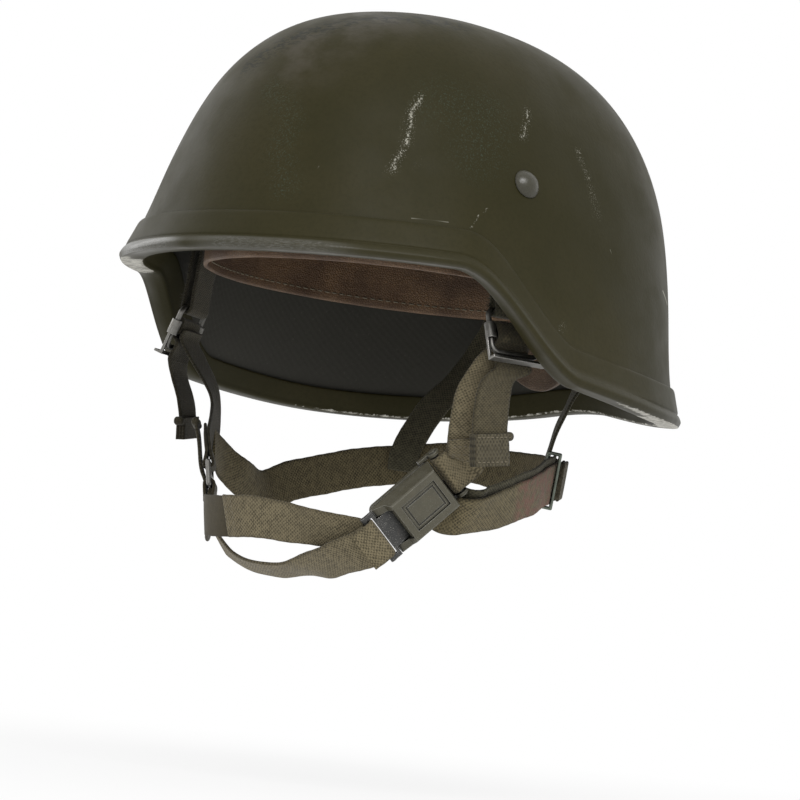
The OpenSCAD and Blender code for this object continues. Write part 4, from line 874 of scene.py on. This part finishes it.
band_low, band_wide, band_round = 55, 35.0, 545
band_steps = 420
turn = turns(band_steps)[:, None]
across, up = strip_section(band_wide, leather, 1, 19)
height = band_low + band_wide / 2 - across[None]
sag = 0.35 * np.sin(turn * 9 + 1) * smooth((62 - height) / 6) + 0.3 * np.sin(turn * 23) * smooth((60 - height) / 5)
offset = 0.05 + up[None] * 0.95 + sag * 0.5 - 0.25 * np.exp(-((height - 84.0) / 0.8) ** 2) * (up[None] < 0.4)
grid = oval(turn + 0 * height, 0, height) + oval_out(turn + 0 * height) * offset[..., None]
run = np.r_[0, np.cumsum(np.full(band_steps, band_round / band_steps))]
headband = surface("leather headband", grid, brown_leather, "helmet", loop_rows=True,
                   map_mm=flat_map(np.r_[across, across[:1]], run))
stands_for(headband, "liner_leather", "headband")
angles = np.arange(0, 2 * np.pi, 2 * np.pi / 150)
seam_from, seam_to = (np.concatenate([oval(at, 0, z) - oval_out(angles) * 0.1 for z in (84.0, 59.0)])
                      for at in (angles, angles + 0.03))
stitches("headband stitches", seam_from, seam_to, -np.concatenate([oval_out(angles)] * 2), radius=0.35, bow=0.25)

arc_from, arc_top = 92.0, 146
lifts = np.array([-14, -7, 0, 18, 38, 60, 80, 90.0])  # below zero millimetres down, above it degrees up
for order, start in enumerate((0, 50, 130)):
    half = []
    for turned in (start, start + 180):
        a = np.radians(turned)
        side = oval(a, band_in - web_t - 1.2, arc_from)
        t = np.radians(np.maximum(lifts, 0))
        places = np.stack([side[0] * np.cos(t), side[1] * np.cos(t),
                           arc_from + (arc_top - arc_from) * np.sin(t) + np.minimum(lifts, 0)], -1)
        places[:, 2] += order * 1.5 * smooth((lifts - 40) / 40)
        looks = oval_out(a) * np.cos(t)[:, None] + np.array([0, 0, 1.0]) * np.sin(t)[:, None]
        half.append((places, looks))
    path = np.concatenate([half[0][0], half[1][0][-2::-1]])
    faces = np.concatenate([half[0][1], half[1][1][-2::-1]])
    arc = strap(f"crown webbing {order + 1}", "crown_webbing", path, faces, "helmet", green_web, wide=18.0,
                steps=12, seed=order)
    rows = np.searchsorted(arc.run, arc.run[-1] * np.array([0.035, 0.055, 0.945, 0.965]))
    stitch_rows(f"crown stitches {order + 1}", arc, rows, 15, up=-0.05)
print("webbing arc length in millimetres:", round(arc.run[-1]))

# %% [markdown]
# The two pads are leather bags filled with felt. Each is made by code from a rounded outline: the
# skin swells between its seams, dimples where a stitch pulls it in, and wrinkles near the edge.

# %% Pads
rows_n, cols_n = 30, 160
turn = turns(cols_n)[None]
s = np.linspace(0.02, 1, rows_n)[:, None]
puff = np.sqrt(np.maximum(1 - s ** 2.6, 0))
wrinkle = 1 + 0.05 * np.sin(turn * 17 + 3 * s) * s ** 3 + 0.03 * np.sin(turn * 31 + 1) * s ** 4
quilt = 1 - 0.22 * np.exp(-((s - 0.52) / 0.05) ** 2)
pad_radius, seam_radius = 36.6, 35.2
radius = pad_radius * s
centre_z = 137.0 - 0.3
upper = np.stack([radius * np.sin(turn), -radius * np.cos(turn),
                  centre_z + 0.6 - 1.6 * s ** 2 + 6.2 * puff * wrinkle * quilt], -1)
lower = np.stack([radius * np.sin(turn), -radius * np.cos(turn),
                  centre_z + 0.2 - 1.8 * s ** 2 - 0.9 * puff * wrinkle + 2.4 * (1 - s)], -1)
grid = np.concatenate([upper, lower[::-1][1:]])
pad_map = flat_map(np.linspace(0, 230, cols_n + 1), np.linspace(0, 74, len(grid)))
crown_pad = surface("crown pad", grid, pad_leather, "helmet", tips=True, map_mm=pad_map)
stands_for(crown_pad, "liner_leather", "crown_pad")
angles = turns(72)
piping, ahead = (np.stack([seam_radius * np.sin(at), -seam_radius * np.cos(at), np.full(72, centre_z + 0.4)], -1)
                 for at in (angles, angles + 0.06))
stitches("crown pad stitches", piping, ahead, unit(piping * [1, 1, 0] + [0, 0, 40.0]), bow=0.4)

f = np.linspace(0.0, 1, 90)[:, None]
nape_top, nape_from, nape_span, nape_tall, nape_fat = 62, 165, 30, 40, 7
a = np.radians(nape_from + nape_span * f)
drop = nape_tall * (0.75 + 0.25 * np.sin(np.pi * f))
fat = nape_fat * (0.4 + 0.6 * np.sin(np.pi * f) ** 0.5)
q = turns(56)[None]
down = 0.5 - 0.5 * np.cos(q)
out = np.where(np.sin(q) >= 0, np.abs(np.sin(q)) ** 0.75, -0.2 * np.abs(np.sin(q)))
channel = 1 - 0.16 * np.exp(-((down - 0.36) / 0.045) ** 2) - 0.16 * np.exp(-((down - 0.68) / 0.045) ** 2)
crease = 1 + 0.05 * np.sin(40 * f + 5 * down) * np.sin(9 * down + 20 * f)
z = nape_top - drop * down
grid = oval(a + 0 * q, 0, z) + oval_out(a + 0 * q) * (2.5 + fat * out * channel * crease)[..., None]
pad_map = flat_map(np.linspace(0, 90, 57), np.linspace(0, 52, 90))
nape_pad = surface("nape pad", grid, pad_leather, "helmet", tips=True, map_mm=pad_map)
stands_for(nape_pad, "liner_leather", "nape_pad")
print("pad points:", len(crown_pad.data.vertices), "and", len(nape_pad.data.vertices))

# %% [markdown]
# The harness starts at two webbing loops that carry wire frames. The adjusters use the CAD model's
# own frame: its origin is the middle of the top bar, x looks outward and z runs up the wire legs.

# %% Adjuster places
def adjuster(side, p, direction=False):
    """Place (or direction) p of one side's leaning adjuster frame in the helmet's frame."""
    angle, lean = np.radians(side["angle"]), np.radians(side["lean"])
    o = oval_out(angle)
    b = np.cross([0, 0, 1], o)
    p = np.atleast_2d(np.array(p, float))
    turned = o * (p[:, :1] * np.cos(lean) - p[:, 2:] * np.sin(lean)) + b * p[:, 1:2] \
        + np.array([0, 0, 1.0]) * (p[:, :1] * np.sin(lean) + p[:, 2:] * np.cos(lean))
    if direction:
        return turned
    return turned + oval(angle, band_out, side["z"]) + o * off_band


def flipped(points):
    """The same places on the other side of the helmet."""
    return np.array(points, float) * [-1, 1, 1]


off_band, wire_d, frame_h, plate_t, plate_h, lip_z = 7, 2.4, 19.5, 1.2, 5.5, -23.7
ferrule_z = -frame_h + 3.2 + 2.8 + 3.5
over_x, plate_top = plate_t / 2 + clear, ferrule_z + plate_h / 2
under_x, cross_z = -wire_d / 2 - 2 * clear - web_t, -frame_h + wire_d / 2 + 2.3
run_x = -over_x - 2 * web_t - 4 * clear
tail_local = [(-over_x, 0, plate_top - 5), (-over_x, 0, plate_top - 0.4), (0, 0, plate_top + over_x),
              (over_x, 0, plate_top - 0.4), (over_x + 0.2, 0, ferrule_z - plate_h / 2 - 0.3),
              (under_x, 0, cross_z), (under_x, 0, lip_z + 2), (under_x - 0.6, 0, lip_z - 1.5)]
tail_looks = [(-1, 0, 0), (-1, 0, 0.5), (0, 0, 1), (1, 0, 0.5), (1, 0, 0), (1, 0, 0), (1, 0, 0), (1, 0, 0)]
run_local = [(run_x, 0, plate_top - 2), (run_x, 0, ferrule_z - 4)]
sides = {
    "left": dict(angle=77, z=41, lean=20, mirror=False, knob=1, hem=14.0,
                 still=(0.088, -0.032, 0.002), swings=(0.0905, -0.029, 0.0155),
                 hang=[(94.2, -31.3, 10.5), (92.6, -31.5, 1), (91.5, -30, -12)],
                 hang_look=[(0.95, -0.1, -0.3), (0.99, -0.15, -0.05), (0.99, -0.17, 0)]),
    "right": dict(angle=65, z=39, lean=20, mirror=True, knob=-1, hem=10.0,
                  still=(-0.082, -0.038, 0.0), swings=(-0.0865, -0.0405, 0.0135),
                  hang=[(92.3, -42.6, 8), (90, -40, -1), (89, -38, -10)],
                  hang_look=[(0.9, -0.4, -0.2), (0.9, -0.43, 0), (0.9, -0.43, 0)])}

# %% [markdown]
# Each anchor loop is one belt of webbing round the frame's top wire and the rivet's pin: two half
# circles and two straight runs. Old webbing frays first at its edges, so loose fibres grow there at
# random places, more on the side that shows.

# %% Anchor loops with frayed edges
strands, near_edge = 700, 9.4  # fibres on a loop, and how far across the strap they grow
for label, it in sides.items():
    angle = np.radians(it["angle"])
    o = oval_out(angle)
    low = adjuster(it, (0, 0, 0))[0]
    loop_ply = wire_d / 2 + clear + web_t
    high = oval(angle, 0, 82.0) + o * (band_out + clear + loop_ply)
    rise = unit(high - low)
    length = np.linalg.norm(high - low)
    sideways = unit(np.cross(rise, -o))
    inward = np.cross(sideways, rise)
    r = wire_d / 2 + clear
    bend = np.linspace(np.pi, 2 * np.pi, 13)
    straight = np.linspace(0, length, 40)[1:-1]
    pinch = 0.45 * np.sin(np.pi * straight / length)
    u = np.concatenate([r * np.sin(bend), straight, length - r * np.sin(bend), straight[::-1]])
    v = np.concatenate([r * np.cos(bend), r - pinch * 0.3, -r * np.cos(bend), -(r - pinch * 0.3)])
    line = low + rise * u[:, None] + inward * v[:, None]
    along = unit(np.roll(line, -1, 0) - np.roll(line, 1, 0))
    face = unit(np.cross(along, sideways))
    face = face * np.sign((face * (line - line.mean(0))).sum(1).mean())
    across, up = strip_section(web_w, web_t)
    run = run_of(line, closed=True)
    fold = 0.12 * np.sin(run[:-1] / 2.9)[:, None] * (across / (web_w / 2)) ** 2
    grid = line[:, None] + sideways * (across * (1 + 0.02 * np.sin(run[:-1] / 1.7))[:, None])[..., None] \
        + face[:, None] * (up + fold)[..., None]
    cloth = flat_map(np.r_[across, across[:1]], run)
    if it["mirror"]:
        grid = flipped(grid)
    # painted shade: the far side's loop and its fibres take the darker webbing
    loop_web = painted_shade_web if it["mirror"] else green_web
    piece = surface(f"{label} anchor loop", grid, loop_web, "helmet", loop_rows=True, map_mm=cloth)
    stands_for(piece, "webbing", f"{label}_anchor_loop")
    rng = np.random.default_rng(5)
    shown = np.flatnonzero(u < 32)
    pick = rng.choice(shown, strands)
    front = -np.sign(sideways[1]) * rng.choice([1, 1, 1, -1], strands)
    roots = line[pick] + sideways * (front * near_edge)[:, None] + face[pick] * rng.uniform(0.1, 1.3, (strands, 1))
    ways = sideways * front[:, None] * 0.8 + face[pick] * rng.uniform(-0.4, 0.7, (strands, 1))
    if it["mirror"]:
        roots, ways = flipped(roots), flipped(ways)
    fibres(f"{label} anchor fray", roots, ways, loop_web, length=1.7, radius=0.08)
print("anchor loops of", round(length), "mm with", strands, "loose fibres each")

# %% [markdown]
# Each side strap runs from its adjuster down the cheek. The tail comes over the slide bar's plate,
# under the frame and hangs free, with a hemmed block at its end. It is made in two pieces: the wrap
# goes with the slide bar, and the free part is a second, fixed piece that rides on no body.

# %% Tails
tail_steps = 14  # rows of a tail from one of its places to the next
for label, it in sides.items():
    down = unit(np.array([0.02, 0.14, -1]))
    looks = np.concatenate([adjuster(it, tail_looks, True), it["hang_look"]])
    path = np.concatenate([adjuster(it, tail_local), it["hang"]])
    bar_way = adjuster(it, (0, -1, 0), True)
    widths = np.concatenate([np.repeat(bar_way, len(tail_local), 0), unit(np.cross(down, it["hang_look"]))])
    end, out = path[-1], unit(looks[-1] - down * (looks[-1] @ down))
    across_way = np.cross(down, out) * np.sign(np.cross(down, out)[1])
    block = np.array([end + down * it["hem"] * share + out * (web_t / 2 - 2.2) for share in (0, 0.35, 0.7, 1)])
    knob_at = end + down * 1.4 + across_way * it["knob"] * 10.1
    if it["mirror"]:
        path, looks, widths, block, knob_at, out = (flipped(v) for v in (path, looks, widths, block, knob_at, out))
    # painted shade: on the far side the tail, hem and knob take the darker webbing
    cloth, block_web = (painted_shade_web, painted_shade_web) if it["mirror"] else (tail_web, ribbed)
    node_name = f"{label}_tail"
    strap(f"{label} tail wrap", node_name, path, looks, f"{label}_bar_body", cloth, steps=tail_steps, seed=2,
          widths=widths, keep=slice(0, 7 * tail_steps + 1))
    free = strap(f"{label} tail", node_name, path, looks, None, cloth, steps=tail_steps, seed=2, widths=widths,
                 base=0.02, thick=web_t - 0.04, wide=web_w - 0.06, keep=slice(6 * tail_steps + 3, None))
    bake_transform(free.piece)
    hem = strap(f"{label} tail hem", node_name, block, [out] * 4, "helmet", block_web, thick=4.4, steps=10,
                cockle=0.1, plies=3, seed=4)
    stitch_rows(f"{label} hem stitches", hem, np.array([4, len(hem.line) - 6]), 16, up=4.45)
    k = np.linspace(-1, 1, 9)
    size = 2.0 * np.sqrt(np.maximum(1 - 0.55 * np.abs(k) ** 6, 0))
    ring = turns(20)
    e1 = unit(np.cross(out, down))
    e2 = np.cross(out, e1)
    grid = knob_at + out * (k[:, None, None] * 2.2 + web_t / 2) \
        + size[:, None, None] * (e1 * np.cos(ring)[:, None] + e2 * np.sin(ring)[:, None])
    knob = surface(f"{label} tail knob", grid, block_web, "helmet", tips=True,
                   map_mm=flat_map(np.linspace(0, 12, 21), k * 2.2))
    stands_for(knob, "webbing", node_name)
print("tail, hem and rolled knob on each side, hem lengths", [it["hem"] for it in sides.values()])

# %% [markdown]
# The buckle has its own frame too: x towards the plug, y down the jaw, z away from it. The left
# strap passes inside the rear bar, turns round it and comes back up on itself, where it is sewn. The
# right strap does the same at its ring, so one function makes both, on the left, and mirrors one.

# %% Side straps and the buckle's frame
buckle_at = np.array([66.5, -30, -33.0])
buckle_x = unit(np.array([-0.40, -0.566, -0.721]))
buckle_z = unit(np.cross(buckle_x, [0.218, 0.706, -0.674]))
buckle_y = np.cross(buckle_z, buckle_x)


def on_buckle(p):
    """Place p of the buckle's frame in the helmet's frame."""
    return buckle_at + buckle_x * p[0] + buckle_y * p[1] + buckle_z * p[2]


def settled_widths(path, looks, first):
    """Width directions square to the path, except that the first places keep the adjuster's own."""
    square = unit(np.cross(np.gradient(np.array(path, float), axis=0), np.array(looks, float)))
    first = np.asarray(first).reshape(3)
    square[:2] = first * np.sign(first @ square[2])
    square[2] = unit(square[2] + square[1])
    return square


def round_the_bar(centre, toward, outward, radius, degrees=(45, 90, 135, 180)):
    """Places on a circle round a bar and the directions back to it: passes below, ends above."""
    t = np.radians(np.array(degrees, float))[:, None]
    spoke = toward * np.sin(t) - outward * np.cos(t)
    return [*(centre + radius * spoke)], [*(-spoke)]


half_ply = web_t / 2


def side_strap(label, cheek, cheek_look, near_bar, bar, toward, outward, lap, sewn, cloth, seed):
    """Strap from the adjuster over the cheek, round a bar and back along itself.

    near_bar holds its last two places before the bar, toward and outward the bar's directions, lap
    its radius round the bar, and sewn the rows of its last stretch that the sewn end lies on.
    """
    it = sides[label]
    looks = np.concatenate([adjuster(it, [(1, 0, 0)] * 2, True), np.array(cheek_look, float)])
    path = np.concatenate([adjuster(it, run_local), np.array(cheek, float)]) + half_ply * unit(looks)
    length = run_of(spline(path, 10))[-1]
    circle, circle_look = round_the_bar(bar, toward, outward, lap)
    last = spline([*path[-2:], *near_bar], 10)
    last_look = unit(spline([*looks[-2:], outward, outward], 10))
    back = [last[k] + last_look[k] * (web_t + 0.25) for k in sewn]
    path = [*path, *near_bar, bar - outward * lap, *circle, *back]
    looks = [*looks, outward, outward, outward, *circle_look, *[-last_look[k] for k in sewn]]
    bar_way = adjuster(it, (0, -1, 0), True)
    if it["mirror"]:
        path, looks, bar_way = flipped(path), flipped(looks), flipped(bar_way)
    made = strap(f"{label} side strap", f"{label}_strap", path, looks, None, cloth, steps=10, base=-half_ply,
                 seed=seed, widths=settled_widths(path, looks, bar_way))
    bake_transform(made.piece)
    print(label, "strap: millimetres down to the bar and in all:", round(length), round(made.run[-1]))
    return made


left_strap = side_strap(
    "left", [(89, -30, 16), (85, -33.5, 4), (81, -31, -10)],
    [(0.95, -0.3, 0), (0.84, -0.42, -0.34), (0.83, -0.48, -0.28)],
    [on_buckle((-13.5, -2, 4.4)), on_buckle((-8.5, -2, 2.4))], on_buckle((-3.6, -2, 4)),
    buckle_x, buckle_z, 1.8 + half_ply, (25, 21, 17, 13), khaki, 1)
seam = len(left_strap.line) - 1 - np.array([5, 12, 19])
stitch_rows("left strap stitches", left_strap, seam, 15, up=half_ply + 0.05, turn=-1)

# %% [markdown]
# On the right the strap ends at a wire ring on the cheek. A short tail goes back up from the ring
# and ends in a roll, and the chin yoke hangs from the ring's lower bar. All of it is worked out on
# the left, where the CAD model draws it, and mirrored.

# %% Right strap and the ring
ring_at = np.array([56.6, -51.2, -37.5])
ring_x = unit(np.array([-0.15, 0.05, -0.99]))
ring_z = unit(np.cross(ring_x, np.cross([0.72, -0.68, -0.10], ring_x)))
ring_y = np.cross(ring_z, ring_x)
ring_bar, ring_gap = 2.2, 5.0


def on_ring(p):
    """Place p of the ring's frame in the helmet's frame, before mirroring."""
    return ring_at + ring_x * p[0] + ring_y * p[1] + ring_z * p[2]


# painted shade: the right strap, on the far side, takes the darker webbing
side_strap("right", [(83.5, -40.5, 17), (76, -37, 4), (69.5, -38.5, -10)],
           unit(np.array([(0.9, -0.4, -0.1), (0.88, -0.45, -0.2), (0.8, -0.58, -0.15)])),
           [on_ring((-15, 0, -0.4)), on_ring((-10, 0, -1.2))], on_ring((-ring_gap, 0, 0)),
           ring_x, ring_z, ring_bar / 2 + clear + half_ply, (26, 22, 18), painted_shade_web, 6)

cheek_out = ring_bar / 2 + 2 * clear + web_t
tail_end = on_ring((-24, 0, cheek_out + 1.4))
path = [on_ring((ring_gap / 2, 0, ring_bar / 2 + clear)), on_ring((-ring_gap, 0, cheek_out)),
        on_ring((-ring_gap - 11, 0, cheek_out + 0.6)), tail_end]
# painted shade: the cheek tail and its roll, on the far side, take the darker webbing
tail = strap("cheek tail", "cheek_tail", flipped(path), flipped([ring_z] * 4), "helmet", painted_shade_web,
             wide=17.0, seed=8)
k = np.linspace(-1, 1, 24)[:, None]
t = turns(24)[None]
size = (2.0 + 0.12 * np.cos(3 * t + 4 * k)) * np.sqrt(np.maximum(1 - 0.35 * np.abs(k) ** 10, 0))
grid = tail_end + ring_z * half_ply + ring_y * (k * 8.5)[..., None] \
    + size[..., None] * (ring_x * np.cos(t)[..., None] + ring_z * np.sin(t)[..., None])
roll = surface("rolled end of the cheek tail", flipped(grid), painted_shade_web, "helmet", tips=True,
               map_mm=flat_map(np.linspace(0, 12.6, 25), k[:, 0] * 8.5))
stands_for(roll, "webbing", "cheek_tail")
print("cheek tail length in millimetres:", round(tail.run[-1]))

# %% [markdown]
# The chin has two straps. The upper one crosses the chin and is sewn over a smooth, faded tab that
# comes from the ring; the lower one cups the chin from below. Both end on the plug's bar.

# %% Chin straps
faded = webbing_cloth("smooth faded tab", (0.060, 0.049, 0.027), (0.040, 0.033, 0.018), across=0.0006, along=0.0005,
                      relief=0.00006)
chin_bar = on_buckle((33.5 + 4.9, 0, 5.5))
yoke_start = flipped(on_ring((ring_gap + 5, 0, 0)))
bar = flipped(on_ring((ring_gap, 0, 0)))
ring_down, ring_out = flipped(ring_x), flipped(ring_z)
circle, circle_look = round_the_bar(bar, -ring_down, ring_out, ring_bar / 2 + clear + half_ply, (180, 135, 90, 45, 0))
yoke_path = [bar + ring_down * 7.5 + ring_out * 2.3, *circle, bar + ring_down * 4 - ring_out * 1.4,
             yoke_start + ring_down - ring_out * 0.3, (-49.6, -55.9, -58.2), (-41.4, -64.3, -56.5),
             (-33.4, -72.6, -56.8), (-22, -76.3, -57), (-8, -77.4, -56.8)]
yoke_look = [-ring_out, *circle_look, ring_out, ring_out, (-0.8, -0.6, -0.1), (-0.8, -0.58, -0.1),
             (-0.6, -0.8, -0.15), (-0.25, -0.95, -0.2), (0, -0.93, -0.33)]
yoke = strap("chin yoke", "chin_yoke", yoke_path, yoke_look, "helmet", faded, wide=18.4, steps=10,
             base=-half_ply, cockle=0.1, seed=3)
upper_path = [(-12.5, -79.2, -56.7), (-5, -79.4, -56.5), (3.5, -77.8, -56.2), (19, -72, -57.4),
              chin_bar + [-24.04, -10.92, 2.96], chin_bar + [-15.04, -5.42, 1.06],
              chin_bar + [-8.04, -0.42, -0.44]]
upper_look = [(-0.05, -0.93, -0.3), (0, -0.93, -0.33), (0.2, -0.92, -0.32), (0.25, -0.85, -0.45),
              (0.4, -0.67, -0.62), (0.6, -0.6, -0.52), (0.8, -0.45, -0.35)]
upper = strap("upper chin strap", "chin_strap_upper", upper_path, upper_look, None, khaki, steps=12,
              base=0.1, seed=7)
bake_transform(upper.piece)
stitch_rows("yoke seam", upper, np.array([4, 9]), 15, up=1.55)

circle, circle_look = round_the_bar(chin_bar, -buckle_x, buckle_z, 1.3 + clear + half_ply, (0, 45, 90, 135, 180))
lower_path = [(-37.3, -60.8, -63.4), (-31.5, -61.5, -68.5), (-20, -60, -74.8), (-2.5, -59, -77.5), (11.5, -57, -76.2),
              chin_bar + [-30.54, -3.42, -12.44], chin_bar + [-16.04, -4.42, -8.44],
              chin_bar + buckle_x * 5.5 - buckle_z * 1.2]
lower_look = [(-0.75, -0.5, -0.45), (-0.5, -0.6, -0.6), (-0.35, -0.4, -0.83), (0.05, -0.25, -0.97),
              (0.15, -0.2, -0.97), (0.3, -0.5, -0.8), (0.6, -0.55, -0.6), buckle_z]
shifted = [np.array(p) + half_ply * unit(np.array(n, float)) for p, n in zip(lower_path, lower_look)]
back = [chin_bar + buckle_x * 4.5 + buckle_z * 1.9, chin_bar + buckle_x * 9 + buckle_z * 1.0]
lower = strap("lower chin strap", "chin_strap_lower", [*shifted, *circle, *back],
              [*lower_look, *circle_look, -buckle_z, -buckle_z], None, khaki, steps=10, base=-half_ply, seed=9)
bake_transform(lower.piece)
print("yoke, upper and lower chin strap in millimetres:", [round(s.run[-1]) for s in (yoke, upper, lower)])

# %% [markdown]
# The nape strap goes from the buckle round the back of the neck to the right cheek. Its free tail
# lies behind it and a wire keeper holds the two together. Two hangers carry it from the suspension.

# %% Nape strap
nape_left = np.array([(71, -15, -46.5), (73, 0, -42.5), (72.5, 14.5, -37), (68.5, 29.5, -32.5), (62, 43, -28),
                      (55.5, 55, -25), (41, 70, -21.5), (21, 78.5, -19.5)])
nape_look = np.array([(0.74, -0.15, -0.6), (0.92, 0.04, -0.39), (0.94, 0.19, -0.27), (0.93, 0.32, -0.17),
                      (0.9, 0.41, -0.14), (0.79, 0.6, -0.12), (0.55, 0.83, -0.1), (0.25, 0.96, -0.1)])
nape_shift = np.array([-2, 0, 4.0])
right_part = flipped(nape_left[1:] + nape_shift)[::-1]
right_look = flipped(nape_look[1:])[::-1]
path = [on_buckle((9, 5, -clear - web_t)), on_buckle((6, 14, -5 * clear - web_t)), *nape_left, (0, 81, -18),
        *right_part, (-66.5, -20, -36), (-65.5, -34, -29.5), (-61.3, -45.8, -22.5)]
looks = [buckle_z, buckle_z, *nape_look, (0, 1, -0.1), *right_look, (-0.98, -0.15, -0.1), (-0.93, -0.35, -0.12),
         (-0.72, -0.68, -0.14)]
nape = strap("nape strap", "nape_strap", path, looks, "helmet", nape_web, seed=5)


def beside(points, q):
    """Spline value at q, a number of whole points and a share."""
    return spline(points, 20)[int(round(q * 20))]


def behind(q):
    """Place behind the strap at q, raised along its width."""
    out = unit(beside(nape_look, q))
    lift = unit(np.array([0, 0, 1.0]) - out * out[2])
    return beside(nape_left, q) - out * (web_t + clear + max(1.2 - 0.5 * q, 0)) + lift * 4.5


stops = np.arange(0.1, 5.31, 0.4)
tucked = [(61.2, -27.5, -37.4), (63.6, -21.6, -40.4)]
second = strap("nape strap tail", "nape_strap_tail", [*tucked, *[behind(q) for q in stops]],
               [buckle_z, buckle_z, *[unit(beside(nape_look, q)) for q in stops]], "helmet", green_web,
               wide=16.0, steps=6, seed=11)
keeper_q = 4.6  # places along the strap from its first one
keeper_face = unit(beside(nape_look, keeper_q))
keeper_way = unit(nape_left[5] - nape_left[4])
keeper_at = beside(nape_left, keeper_q) + keeper_face * 1.7 + np.array([0, 0, 1.0])
strap("nape strap end hem", "nape_strap", [keeper_at + keeper_way * d for d in (4.7, 7, 9.5, 12)],
      [keeper_face] * 4, "helmet", ribbed, wide=18.0, thick=3.0, plies=2, steps=8, cockle=0.1, seed=13)
hanger_q = 5.55
out = unit(beside(nape_look, hanger_q))
low = beside(nape_left, hanger_q) - out * (2 * web_t + 5 * clear)
path = np.array([low + [0, 0, -4], low + [-1, 1.5, 9], (41.5, 74, 8), (38.5, 86, 22), (36, 98.5, 40), (31.5, 104, 57),
                 oval(np.radians(160.0), band_out + clear, 84.0)])
looks = np.array([out, out, (0.55, 0.8, -0.2), (0.45, 0.85, -0.3), (0.4, 0.9, -0.2), oval_out(np.radians(160.0)),
                  oval_out(np.radians(160.0))])
fade = np.maximum(1 - np.arange(7) / 4, 0)[:, None]
for label, places, faces in (("left", path, looks), ("right", flipped(path + fade * nape_shift), flipped(looks))):
    strap(f"{label} rear hanger", "rear_hangers", places, faces, "helmet", green_web, wide=14.0, steps=10, seed=12)
print("nape strap and its second layer in millimetres:", round(nape.run[-1]), round(second.run[-1]))

# %% [markdown]
# The hardware keeps the CAD model's exact shapes. Each piece only gets its finish.

# %% Finishes on the hardware
finishes = {"liner_screws": screw_paint, "liner_washers": black_rubber, "suspension_band": band_plastic,
            "headband_clips": bright_steel, "loop_rivets": wire_steel, "left_frame": wire_steel,
            "right_frame": wire_steel, "left_slide_bar": wire_steel, "right_slide_bar": wire_steel,
            "buckle_base": enamel, "buckle_cover": enamel, "release_button": enamel, "latch_spring": bright_steel,
            "buckle_plug": plug_steel, "junction_ring": wire_steel, "nape_keeper": old_steel}
dressed = 0
for name, material in finishes.items():
    for part in [o for o in bpy.data.objects if o.type == "MESH" and o.name.split(".")[0] == name]:
        part.data.materials.clear()
        part.data.materials.append(material)
        dressed += 1
print("CAD pieces with a finish:", dressed)

# %% [markdown]
# The photograph was taken in front of plain white under a broad, soft light. The sky here is an even
# white that lights the piece from all round. Rays that reach it from the camera, off a shine or
# through something clear see it at full white, which gives the pale rim at grazing angles. A large
# lamp adds a soft direction and a weaker one lifts the left side. The floor is white, well below the
# straps, and its glow fades the shadow out into the background.

# %% Light and floor
world = bpy.data.worlds.new("studio")
world.use_nodes = True
bpy.context.scene.world = world
tree = world.node_tree
tree.nodes.clear()
ray = node(tree, "ShaderNodeLightPath")
lit = node(tree, "ShaderNodeBackground", {"Color": (1.0, 1.0, 1.0, 1.0), "Strength": 0.5})
seen = node(tree, "ShaderNodeBackground", {"Color": (1.0, 1.0, 1.0, 1.0), "Strength": 1.0})
direct = calc("MAXIMUM", ray.outputs["Is Camera Ray"], ray.outputs["Is Transmission Ray"])
direct = calc("MAXIMUM", direct, ray.outputs["Is Glossy Ray"])
both = node(tree, "ShaderNodeMixShader", {0: direct, 1: lit.outputs[0], 2: seen.outputs[0]})
node(tree, "ShaderNodeOutputWorld", {"Surface": both.outputs[0]})

for label, wide, high, watts, lamp_at in (("large soft lamp", 1.3, 1.0, 29.0, (1.35, -1.05, 1.45)),
                                          ("left soft lamp", 0.9, 1.2, 4.8, (-1.35, -0.3, 0.45))):
    lamp = bpy.data.lights.new(label, "AREA")
    lamp.shape = "RECTANGLE"
    lamp.size, lamp.size_y = wide, high
    lamp.energy = watts
    lamp_object = bpy.data.objects.new(label.replace(" ", "_"), lamp)
    bpy.context.collection.objects.link(lamp_object)
    lamp_object.matrix_world = aimed(lamp_at, np.array([0.0, 0.0, 0.05]) - lamp_at, np.array([0, 0, 1.0]))

white, tree, shader, place = finish("white floor", Roughness=1.0, Base_Color=(0.88, 0.88, 0.88, 1.0),
                                    Specular_IOR_Level=0.0)
glow = node(tree, "ShaderNodeEmission", {"Color": (1.0, 1.0, 1.0, 1.0), "Strength": 1.0})
far = vectors("LENGTH", place.outputs["Object"], (0.0, 0.0, 0.0), "Value")
glowing = ramp(far, 0.05, 0.9, 0.8, 1.0)
blend_out = node(tree, "ShaderNodeMixShader", {0: glowing, 1: shader.outputs[0], 2: glow.outputs[0]})
tree.links.new(blend_out.outputs[0], tree.nodes["Material Output"].inputs["Surface"])
floor_z, floor_thick, floor_points = -172.0, 4.0, 48
t = turns(floor_points)
rings = [(radius, floor_z) for radius in (0.5, 400, 1500, 6000)] \
    + [(radius, floor_z - floor_thick) for radius in (6000, 0.5)]
grid = np.stack([np.stack([r * np.sin(t), r * np.cos(t), np.full(floor_points, z)], -1) for r, z in rings])
floor = surface("floor", grid, white, None, tips=True)
print("floor at millimetres:", floor_z)
